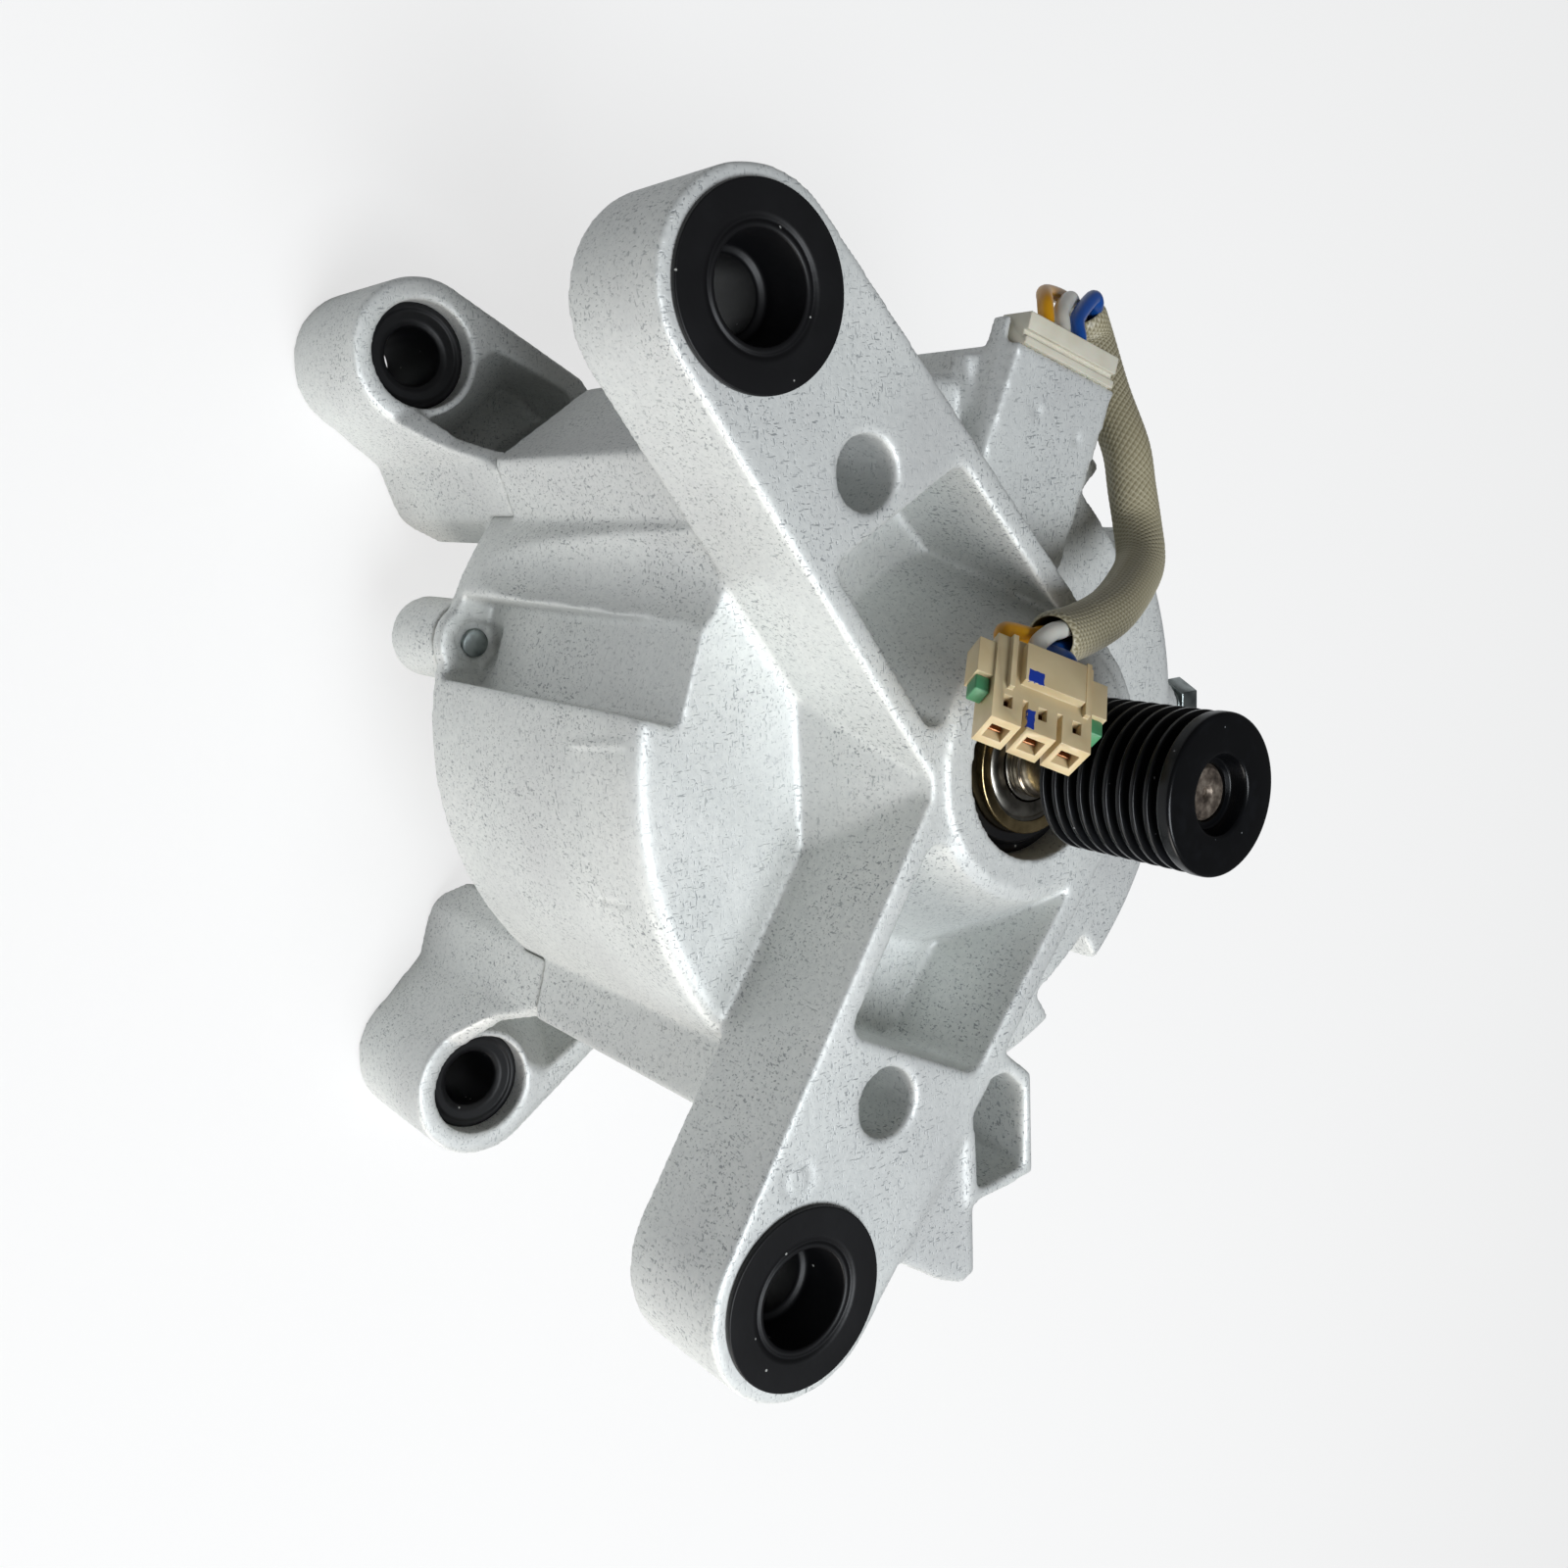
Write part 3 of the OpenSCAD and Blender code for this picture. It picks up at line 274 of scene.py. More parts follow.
def dust_specks(tree, place, apart_mm, edge, core, rare):
    """Where dust specks lie: one in each cell apart_mm wide whose own number is over rare."""
    cells = add(tree, "ShaderNodeTexVoronoi", {"Scale": METRE / apart_mm}, {"Vector": place})
    near = add(tree, "ShaderNodeMapRange", {"From Min": edge, "From Max": core},
               {"Value": cells.outputs["Distance"]})
    number = add(tree, "ShaderNodeSeparateColor", links={"Color": cells.outputs["Color"]})
    few = add(tree, "ShaderNodeMapRange", {"From Min": rare, "From Max": rare + 0.02},
              {"Value": number.outputs["Red"]})
    return add(tree, "ShaderNodeMath", {"operation": "MULTIPLY"}, {0: near, 1: few})


# Three sets of flecks, each with its turn and its count per metre: a fleck is about 1.3 by 0.3 by 0.5 mm
FLECKS = (
    ((0.3, 0.2, 0.5), (820, 2900, 2000)),
    ((1.1, 0.7, 2.1), (3100, 760, 2000)),
    ((2.0, 1.4, 0.9), (2000, 3200, 800)),
)


def cast_aluminium(look):
    # Die-cast aluminium, tumbled: a pale, dull grey in broad soft clouds, with short dark flecks where the
    # skin was struck and a fine grain that breaks its highlights
    mat, tree, shader, place = material("die-cast aluminium, tumbled", Metallic=0.35, Roughness=0.5)
    clouds = add(tree, "ShaderNodeTexNoise", {"Scale": METRE / 34, "Detail": 3}, {"Vector": place})
    tone = add(tree, "ShaderNodeValToRGB",
               {"stops": ((0.35, "#d9dad8"), (0.55, look.metal), (0.72, "#ecedea"))}, {"Fac": clouds})
    marks = []
    for turn, per_metre in FLECKS:
        drawn_out = add(tree, "ShaderNodeMapping", {"Scale": per_metre, "Rotation": turn}, {"Vector": place})
        fine = add(tree, "ShaderNodeTexNoise", {"Scale": 1, "Detail": 1.5}, {"Vector": drawn_out})
        marks.append(add(tree, "ShaderNodeMapRange", {"From Min": 0.63, "From Max": 0.71}, {"Value": fine}))
    two_sets = add(tree, "ShaderNodeMath", {"operation": "MAXIMUM"}, {0: marks[0], 1: marks[1]})
    all_sets = add(tree, "ShaderNodeMath", {"operation": "MAXIMUM"}, {0: two_sets, 1: marks[2]})
    patches = add(tree, "ShaderNodeTexNoise", {"Scale": METRE / 14}, {"Vector": place})
    struck = add(tree, "ShaderNodeMapRange", {"From Min": 0.36, "From Max": 0.6}, {"Value": patches})
    density = add(tree, "ShaderNodeMath", {"operation": "MULTIPLY_ADD", 1: 0.75, 2: 0.5}, {0: struck})
    fleck = add(tree, "ShaderNodeMath", {"operation": "MULTIPLY"}, {0: all_sets, 1: density})
    darkness = add(tree, "ShaderNodeMath", {"operation": "MULTIPLY", 1: 0.52}, {0: fleck})
    flecked = add(tree, "ShaderNodeMix", {"data_type": "RGBA", COLOUR_B: linear(look.fleck)},
                  {0: darkness, COLOUR_A: tone})
    grain = add(tree, "ShaderNodeTexNoise", {"Scale": METRE / 0.9}, {"Vector": place})
    hollows = add(tree, "ShaderNodeMapRange", {"From Min": 0.35, "From Max": 0.75}, {"Value": grain})
    faint = add(tree, "ShaderNodeMath", {"operation": "MULTIPLY", 1: 0.24}, {0: hollows})
    grained = add(tree, "ShaderNodeMix", {"data_type": "RGBA", COLOUR_B: linear("#b3b7b8")},
                  {0: faint, COLOUR_A: flecked.outputs[MIXED]})
    dullness = add(tree, "ShaderNodeMapRange", {"To Min": 0.42, "To Max": 0.6}, {"Value": clouds})
    tree.links.new(dullness.outputs["Result"], shader.inputs["Roughness"])
    skin = add(tree, "ShaderNodeTexNoise", {"Scale": METRE / 1.6, "Detail": 3}, {"Vector": place})
    dent = add(tree, "ShaderNodeMath", {"operation": "MULTIPLY", 1: 0.6}, {0: fleck})
    relief = add(tree, "ShaderNodeMath", {"operation": "SUBTRACT"}, {0: skin, 1: dent})
    cover(tree, shader, grained.outputs[MIXED], relief, 0.10, 0.6)
    return mat


def moulded_rubber(look):
    # Moulded rubber: black and half dull, with a thin grey haze and pale specks of dust that stick to it
    mat, tree, shader, place = material("moulded rubber", Roughness=0.45, IOR=1.5, Specular_IOR_Level=0.3)
    dust = dust_specks(tree, place, 2.6, 0.085, 0.06, 0.72)
    broad = add(tree, "ShaderNodeTexNoise", {"Scale": METRE / 7, "Detail": 4}, {"Vector": place})
    bloom = add(tree, "ShaderNodeMapRange", {"From Min": 0.45, "From Max": 0.75}, {"Value": broad})
    haze = add(tree, "ShaderNodeMath", {"operation": "MULTIPLY", 1: 0.04}, {0: bloom})
    hazed = add(tree, "ShaderNodeMix",
                {"data_type": "RGBA", COLOUR_A: linear(look.colour), COLOUR_B: linear("#4b4d50")}, {0: haze})
    dusty = add(tree, "ShaderNodeMix", {"data_type": "RGBA", COLOUR_B: linear(look.dust)},
                {0: dust, COLOUR_A: hazed.outputs[MIXED]})
    grain = add(tree, "ShaderNodeTexNoise", {"Scale": METRE / 0.8}, {"Vector": place})
    cover(tree, shader, dusty.outputs[MIXED], grain, 0.03, 0.5)
    return mat


def oiled_black():
    # Black-oxided steel, oiled: near black with tight highlights on its rims, a little greyer in patches,
    # and a few pale specks
    mat, tree, shader, place = material(
        "black-oxided steel, oiled", Metallic=0.2, Roughness=0.26, Specular_IOR_Level=0.3)
    broad = add(tree, "ShaderNodeTexNoise", {"Scale": METRE / 3, "Detail": 4}, {"Vector": place})
    worn = add(tree, "ShaderNodeMapRange", {"From Min": 0.5, "From Max": 0.8}, {"Value": broad})
    wear = add(tree, "ShaderNodeMath", {"operation": "MULTIPLY", 1: 0.35}, {0: worn})
    rubbed = add(tree, "ShaderNodeMix",
                 {"data_type": "RGBA", COLOUR_A: linear("#0a0b0d"), COLOUR_B: linear("#1e2025")}, {0: wear})
    dusty = add(tree, "ShaderNodeMix", {"data_type": "RGBA", COLOUR_B: linear("#8d8f92")},
                {0: dust_specks(tree, place, 1.9, 0.09, 0.05, 0.8), COLOUR_A: rubbed.outputs[MIXED]})
    grain = add(tree, "ShaderNodeTexNoise", {"Scale": METRE / 0.6}, {"Vector": place})
    cover(tree, shader, dusty.outputs[MIXED], grain, 0.015, 0.5)
    return mat


def metal(name, dark, light, roughness, metallic=1.0, patch_mm=2.5, turned=False):
    """Bare or plated metal with a little stain; turned ones carry fine rings round the axis."""
    mat, tree, shader, place = material(name, Metallic=metallic, Roughness=roughness)
    stain = add(tree, "ShaderNodeTexNoise", {"Scale": METRE / patch_mm, "Detail": 4}, {"Vector": place})
    tone = add(tree, "ShaderNodeValToRGB", {"stops": ((0.3, dark), (0.65, light))}, {"Fac": stain})
    if turned:
        # Tool marks are too fine to show, so their rings are drawn about 0.8 mm apart
        rings = add(tree, "ShaderNodeTexWave", {"wave_type": "RINGS", "rings_direction": "Z",
                                                "Scale": METRE / 2.5, "Distortion": 0.6}, {"Vector": place})
        cover(tree, shader, tone.outputs["Color"], rings.outputs["Fac"], 0.01, 0.4)
    else:
        grain = add(tree, "ShaderNodeTexNoise", {"Scale": METRE / 0.7}, {"Vector": place})
        cover(tree, shader, tone.outputs["Color"], grain, 0.012, 0.5)
    return mat


def shaft_steel():
    # Carbon steel, turned and stained: a dull brown grey at the shaft's end, with darker rusted spots
    mat, tree, shader, place = material("carbon steel, turned and stained", Metallic=0.7, Roughness=0.5)
    spots = add(tree, "ShaderNodeTexNoise", {"Scale": METRE / 1.4, "Detail": 5, "Roughness": 0.6},
                {"Vector": place})
    tone = add(tree, "ShaderNodeValToRGB",
               {"stops": ((0.3, "#3c342e"), (0.5, "#6d6258"), (0.7, "#a3978a"))}, {"Fac": spots})
    cover(tree, shader, tone.outputs["Color"], spots, 0.06, 0.6)
    return mat


def plastic(name, colour, shade, roughness=0.4):
    """Moulded plastic that light enters a little, with a faint cloud of a second tone."""
    mat, tree, shader, place = material(
        name, Roughness=roughness, IOR=1.53, Subsurface_Weight=0.08, Subsurface_Scale=0.6 * MM)
    broad = add(tree, "ShaderNodeTexNoise", {"Scale": METRE / 5}, {"Vector": place})
    cloud = add(tree, "ShaderNodeMapRange", {"From Min": 0.35, "From Max": 0.7}, {"Value": broad})
    faint = add(tree, "ShaderNodeMath", {"operation": "MULTIPLY", 1: 0.5}, {0: cloud})
    tone = add(tree, "ShaderNodeMix",
               {"data_type": "RGBA", COLOUR_A: linear(colour), COLOUR_B: linear(shade)}, {0: faint})
    grain = add(tree, "ShaderNodeTexNoise", {"Scale": METRE / 0.5, "Detail": 1}, {"Vector": place})
    cover(tree, shader, tone.outputs[MIXED], grain, 0.008, 0.5)
    return mat


def paint_marks(mat, axes, marks, colour):
    """Dabs of marking paint with ragged edges on a moulded part.

    Each mark is its middle and its reach along the axes, in millimetres.
    """
    tree = mat.node_tree
    skin = tree.nodes["Principled BSDF"].inputs["Base Color"]
    place = add(tree, "ShaderNodeTexCoord").outputs["Object"]
    edge = add(tree, "ShaderNodeTexNoise", {"Scale": METRE / 0.7}, {"Vector": place})
    ragged = add(tree, "ShaderNodeMath", {"operation": "MULTIPLY", 1: 0.4 * MM}, {0: edge})
    for middle, reach in marks:
        inside = None
        for axis, half in zip(axes, reach):
            along = add(tree, "ShaderNodeVectorMath", {"operation": "DOT_PRODUCT", 1: axis}, {0: place})
            offset = add(tree, "ShaderNodeMath", {"operation": "SUBTRACT", 1: axis.dot(middle) * MM},
                         {0: along.outputs["Value"]})
            away = add(tree, "ShaderNodeMath", {"operation": "ABSOLUTE"}, {0: offset})
            wavy = add(tree, "ShaderNodeMath", {"operation": "ADD"}, {0: away, 1: ragged})
            near = add(tree, "ShaderNodeMath", {"operation": "LESS_THAN", 1: (half + 0.2) * MM}, {0: wavy})
            if inside is not None:
                near = add(tree, "ShaderNodeMath", {"operation": "MULTIPLY"}, {0: inside, 1: near})
            inside = near
        painted = add(tree, "ShaderNodeMix", {"data_type": "RGBA", COLOUR_B: linear(colour)},
                      {0: inside, COLOUR_A: skin.links[0].from_socket})
        tree.links.new(painted.outputs[MIXED], skin)


def glass_braid():
    # Glass-fibre braid, varnished: cream with a soft gloss, with painted shade that darkens the gaps between
    # strands to brown and leaves the strand tops pale
    mat, tree, shader, place = material(
        "varnished glass-fibre braid", Roughness=0.45, IOR=1.5, Coat_Weight=0.25, Coat_Roughness=0.3)
    # Painted shade: each point's height on the strands sets its colour, darker in the gaps between them
    height = add(tree, "ShaderNodeAttribute", {"attribute_name": "strand_height"})
    tone = add(tree, "ShaderNodeValToRGB",
               {"stops": ((0.05, "#6d654c"), (0.45, "#a0977b"), (0.9, "#c3bca3"))},
               {"Fac": height.outputs["Fac"]})
    broad = add(tree, "ShaderNodeTexNoise", {"Scale": METRE / 16}, {"Vector": place})
    stain = add(tree, "ShaderNodeMapRange", {"From Min": 0.4, "From Max": 0.7}, {"Value": broad})
    faint = add(tree, "ShaderNodeMath", {"operation": "MULTIPLY", 1: 0.35}, {0: stain})
    stained = add(tree, "ShaderNodeMix", {"data_type": "RGBA", COLOUR_B: linear("#a99f80")},
                  {0: faint, COLOUR_A: tone})
    tree.links.new(stained.outputs[MIXED], shader.inputs["Base Color"])
    return mat


# Meshes


def new_piece(name, mesh, mat, body="housing", smooth_angle=32):
    """Object for a mesh in millimetres, smooth but for edges sharper than the angle, riding on a body."""
    mesh.transform(Matrix.Scale(MM, 4))
    work = bmesh.new()
    work.from_mesh(mesh)
    bmesh.ops.recalc_face_normals(work, faces=work.faces)
    for face in work.faces:
        face.smooth = True
    for edge in work.edges:
        edge.smooth = len(edge.link_faces) == 2 and edge.calc_face_angle() < math.radians(smooth_angle)
    work.to_mesh(mesh)
    work.free()
    mesh.materials.append(mat)
    piece = bpy.data.objects.new(name, mesh)
    bpy.context.scene.collection.objects.link(piece)
    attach(piece, body)
    return piece


def mesh_of(name, vertices, faces):
    """Mesh of those points and faces."""
    mesh = bpy.data.meshes.new(name)
    mesh.from_pydata([tuple(v) for v in vertices], [], [tuple(f) for f in faces])
    return mesh


def rounded(outline, radius, steps=4):
    """Closed outline of (r, z) points with rounded corners; radius is one number, or one for each corner."""
    points = [np.array(p, float) for p in outline]
    radii = [radius] * len(points) if isinstance(radius, (int, float)) else radius
    made = []
    for i, p in enumerate(points):
        before, after = points[i - 1] - p, points[(i + 1) % len(points)] - p
        reach_before, reach_after = np.linalg.norm(before), np.linalg.norm(after)
        cut = min(radii[i], 0.45 * reach_before, 0.45 * reach_after)
        if cut < 0.01 or p[0] < 0.001:
            made.append(p)
            continue
        a, b = p + before / reach_before * cut, p + after / reach_after * cut
        for k in range(steps + 1):
            t = k / steps
            made.append((1 - t) ** 2 * a + 2 * t * (1 - t) * p + t * t * b)
    return made


def lathe(name, outline, mat, body="housing", centre=(0, 0, 0), sides=144):
    """Piece turned about +Z from a closed outline of (r, z) points."""
    vertices, faces = [], []
    count = len(outline)
    for k in range(sides):
        turn = 2 * math.pi * k / sides
        for r, z in outline:
            vertices.append((centre[0] + r * math.cos(turn), centre[1] + r * math.sin(turn), centre[2] + z))
    for k in range(sides):
        for i in range(count):
            j, n = (i + 1) % count, (k + 1) % sides
            faces.append((k * count + i, n * count + i, n * count + j, k * count + j))
    mesh = mesh_of(name, vertices, faces)
    work = bmesh.new()
    work.from_mesh(mesh)
    bmesh.ops.remove_doubles(work, verts=work.verts, dist=0.0005)
    work.to_mesh(mesh)
    work.free()
    return new_piece(name, mesh, mat, body)


def wire_tube(name, route, radius, mat, sides=20):
    """Closed round tube along a route."""
    across, normals = route_frames(route, np.array((0.0, 0.0, 1.0)))
    turns = np.arange(sides) * 2 * np.pi / sides
    rings = []
    for i, p in enumerate(route):
        rings.append(p + radius * (np.cos(turns)[:, None] * across[i] + np.sin(turns)[:, None] * normals[i]))
    faces = []
    for i in range(len(route) - 1):
        for k in range(sides):
            a, b = i * sides + k, i * sides + (k + 1) % sides
            faces.append((a, a + sides, b + sides, b))
    faces.append(tuple(range(sides - 1, -1, -1)))
    faces.append(tuple((len(route) - 1) * sides + k for k in range(sides)))
    return new_piece(name, mesh_of(name, np.concatenate(rings), faces), mat, smooth_angle=60)


def dress(node, mat, bevel_mm=0.0, segments=2):
    """Material, rounded edges and smooth shading for a CAD node that stays."""
    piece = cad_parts[node]
    piece.data.materials.clear()
    piece.data.materials.append(mat)
    for face in piece.data.polygons:
        face.material_index = 0
    if bevel_mm:
        weld = piece.modifiers.new("weld", "WELD")
        weld.merge_threshold = 1e-6
        flat = piece.modifiers.new("flat faces", "DECIMATE")
        flat.decimate_type = "DISSOLVE"
        flat.angle_limit = math.radians(1)
        edge = piece.modifiers.new("rounded edges", "BEVEL")
        edge.width = bevel_mm * MM
        edge.segments = segments
        edge.limit_method = "ANGLE"
        edge.angle_limit = math.radians(30)
        edge.harden_normals = True
        for face in piece.data.polygons:
            face.use_smooth = True
    return piece


# Castings


def node_points(node):
    """A CAD node's mesh as a copy whose doubled corners are joined."""
    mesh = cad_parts[node].data.copy()
    work = bmesh.new()
    work.from_mesh(mesh)
    bmesh.ops.remove_doubles(work, verts=work.verts, dist=1e-7)
    work.to_mesh(mesh)
    work.free()
    return mesh


def cast_skin(name, node, mat, look, keep_sharp, marks):
    """Casting's skin: the CAD node on a fine even grid, with its edges softened as a die leaves them.

    keep_sharp gives 0 to 1 for points in millimetres: 1 where a face was machined and stays crisp.
    Each of marks moves points along their normals, as the die's small marks do.
    """
    rough = bpy.data.objects.new("rough_" + name, node_points(node))
    bpy.context.scene.collection.objects.link(rough)
    grid = rough.modifiers.new("grid", "REMESH")
    grid.mode = "VOXEL"
    grid.voxel_size = look.skin_cell * MM
    grid.adaptivity = 0
    bpy.context.view_layer.update()
    mesh = bpy.data.meshes.new_from_object(rough.evaluated_get(bpy.context.evaluated_depsgraph_get()))
    mesh.transform(Matrix.Scale(1 / MM, 4))
    bpy.data.objects.remove(rough)
    co = np.empty(len(mesh.vertices) * 3)
    mesh.vertices.foreach_get("co", co)
    co = co.reshape(-1, 3)
    edges = np.empty(len(mesh.edges) * 2, int)
    mesh.edges.foreach_get("vertices", edges)
    a, b = edges.reshape(-1, 2).T
    count = np.bincount(a, minlength=len(co)) + np.bincount(b, minlength=len(co))
    share = 0.5 * (1 - keep_sharp(co))[:, None]
    for _ in range(look.soft_passes):
        total = np.stack([np.bincount(a, co[b, i], len(co)) + np.bincount(b, co[a, i], len(co))
                          for i in range(3)], 1)
        co += share * (total / count[:, None] - co)
    mesh.vertices.foreach_set("co", co.ravel())
    mesh.update()
    normals = np.empty(len(co) * 3)
    mesh.vertices.foreach_get("normal", normals)
    normals = normals.reshape(-1, 3)
    for mark in marks:
        co += normals * mark(co, normals)[:, None]
    mesh.vertices.foreach_set("co", co.ravel())
    mesh.update()
    mesh.transform(Matrix.Scale(MM, 4))
    mesh.materials.clear()
    mesh.materials.append(mat)
    mesh.polygons.foreach_set("use_smooth", np.ones(len(mesh.polygons), bool))
    mesh.name = name
    piece = bpy.data.objects.new(name, mesh)
    bpy.context.scene.collection.objects.link(piece)
    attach(piece, "housing")
    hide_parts(node)
    return piece


def ring_mark(x, y, z, radius, depth, width=0.5):
    """Round groove on a face that looks to +Z, as an ejector pin leaves."""
    def mark(co, normals):
        near = (np.abs(co[:, 2] - z) < 1.2) & (normals[:, 2] > 0.7)
        d = np.hypot(co[:, 0] - x, co[:, 1] - y) - radius
        return np.where(near, -depth * np.exp(-(d / width) ** 2), 0)
    return mark


def side_line(turn_a, z_a, turn_b, z_b, depth, width=0.45, radius=CUP_R):
    """Fine line on the cup's side, between two places given by angle and height."""
    def mark(co, normals):
        reach = np.hypot(co[:, 0], co[:, 1])
        arc = np.arctan2(co[:, 1], co[:, 0]) * radius
        p = np.stack([arc, co[:, 2]], 1)
        a = np.array([math.radians(turn_a) * radius, z_a])
        b = np.array([math.radians(turn_b) * radius, z_b])
        t = np.clip(((p - a) @ (b - a)) / ((b - a) @ (b - a)), 0, 1)
        d = np.linalg.norm(p - a - t[:, None] * (b - a), axis=1)
        return np.where(np.abs(reach - radius) < 1.2, depth * np.exp(-(d / width) ** 2), 0)
    return mark


def within(distance, radius, fade):
    """0 past the radius, rising to 1 over the fade's width inside it."""
    return np.clip((radius - distance) / fade, 0, 1)


def machined_front(co):
    """Near 1 on the hub's bore and ring, the lug bores and the screw seats, and 0 on cast faces."""
    hub = np.hypot(co[:, 0], co[:, 1])
    lug = np.hypot(np.abs(co[:, 0]) - LUG_X, co[:, 1] - LUG_Y)
    crisp = np.maximum(within(hub, HUB_MACHINED_R, 0.6), within(lug, LUG_MACHINED_R, 0.6))
    for turn in BOSS_TURNS:
        x, y = BOSS_REACH * math.cos(math.radians(turn)), BOSS_REACH * math.sin(math.radians(turn))
        seat = np.hypot(co[:, 0] - x, co[:, 1] - y)
        crisp = np.maximum(crisp, within(seat, SEAT_MACHINED_R, 0.6) * 1.1)
    return crisp * 0.85


def machined_rear(co):
    """Part of the way to 1 on the rear lugs' bores, and 0 on cast faces."""
    lug = np.hypot(np.abs(co[:, 0]) - LUG_X, co[:, 1] - LUG_Y)
    return within(lug, REAR_LUG_MACHINED_R, 0.5) * 0.6


# Operators


class MOTOR_OT_stage(bpy.types.Operator):
    """Camera at the photograph's place, soft studio light and a pale floor"""

    bl_idname = "motor.stage"
    bl_label = "Stage"

    def execute(self, context):
        look = context.scene.motor_stage
        scene = context.scene
        cam = bpy.data.cameras.new("camera")
        cam.lens, cam.sensor_width = look.lens, SENSOR_MM
        cam.shift_x, cam.shift_y = CAMERA_SHIFT
        cam.clip_start, cam.clip_end = 0.01, 20
        eye = bpy.data.objects.new("camera", cam)
        right, down, ahead = Vector(CAMERA_RIGHT), Vector(CAMERA_DOWN), Vector(CAMERA_AHEAD)
        place = Matrix((right, -down, -ahead)).transposed().to_4x4()
        place.translation = Vector(CAMERA_AT) * MM
        eye.matrix_world = place
        scene.collection.objects.link(eye)
        scene.camera = eye
        target = Vector((0, 0, 0.08))
        for name, direction, distance, size, power, colour in (
            ("window light", (-0.9, 0.55, 0.08), 0.95, 0.6, look.key, "#fffaf4"),
            ("overhead light", (-0.35, 0.22, 1.0), 0.9, 0.5, look.key * 1.35, "#f1f6fb"),
        ):
            lamp = bpy.data.lights.new(name, "AREA")
            lamp.shape, lamp.size, lamp.energy = "DISK", size, power
            lamp.color = linear(colour)[:3]
            holder = bpy.data.objects.new(name, lamp)
            way = Vector(direction).normalized()
            holder.location = target + way * distance
            holder.rotation_euler = way.to_track_quat("Z", "Y").to_euler()
            scene.collection.objects.link(holder)
        world = bpy.data.worlds.new("studio")
        scene.world = world
        world.use_nodes = True
        tree = world.node_tree
        back = tree.nodes["Background"]
        back.inputs["Color"].default_value = (1, 1, 1, 1)
        path = add(tree, "ShaderNodeLightPath")
        seen = add(tree, "ShaderNodeMath", {"operation": "MAXIMUM"},
                   {0: path.outputs["Is Camera Ray"], 1: path.outputs["Is Transmission Ray"]})
        level = add(tree, "ShaderNodeMapRange", {"To Min": look.fill, "To Max": 1.0}, {"Value": seen})
        tree.links.new(level.outputs["Result"], back.inputs["Strength"])
        mesh = bpy.data.meshes.new("floor")
        half = 3.0
        corners = [(-half, -half, 0), (half, -half, 0), (half, half, 0), (-half, half, 0)]
        mesh.from_pydata(corners, [], [(0, 1, 2, 3)])
        floor = bpy.data.objects.new("floor", mesh)
        floor.location.z = -0.0002
        scene.collection.objects.link(floor)
        # Matt white paper: an even pale ground, lifted toward white where the camera sees it
        mat, tree, shader, _ = material("matt paper floor", Roughness=0.9)
        shader.inputs["Base Color"].default_value = linear(look.floor)
        path = add(tree, "ShaderNodeLightPath")
        glow = add(tree, "ShaderNodeEmission", {"Color": (1, 1, 1, 1), "Strength": 1.0})
        lift = add(tree, "ShaderNodeMath", {"operation": "MULTIPLY", 1: 0.72},
                   {0: path.outputs["Is Camera Ray"]})
        mixed = add(tree, "ShaderNodeMixShader", links={0: lift, 1: shader.outputs["BSDF"], 2: glow})
        tree.links.new(mixed.outputs["Shader"], tree.nodes["Material Output"].inputs["Surface"])
        mesh.materials.append(mat)
        scene.view_settings.view_transform = "Standard"
        return {"FINISHED"}


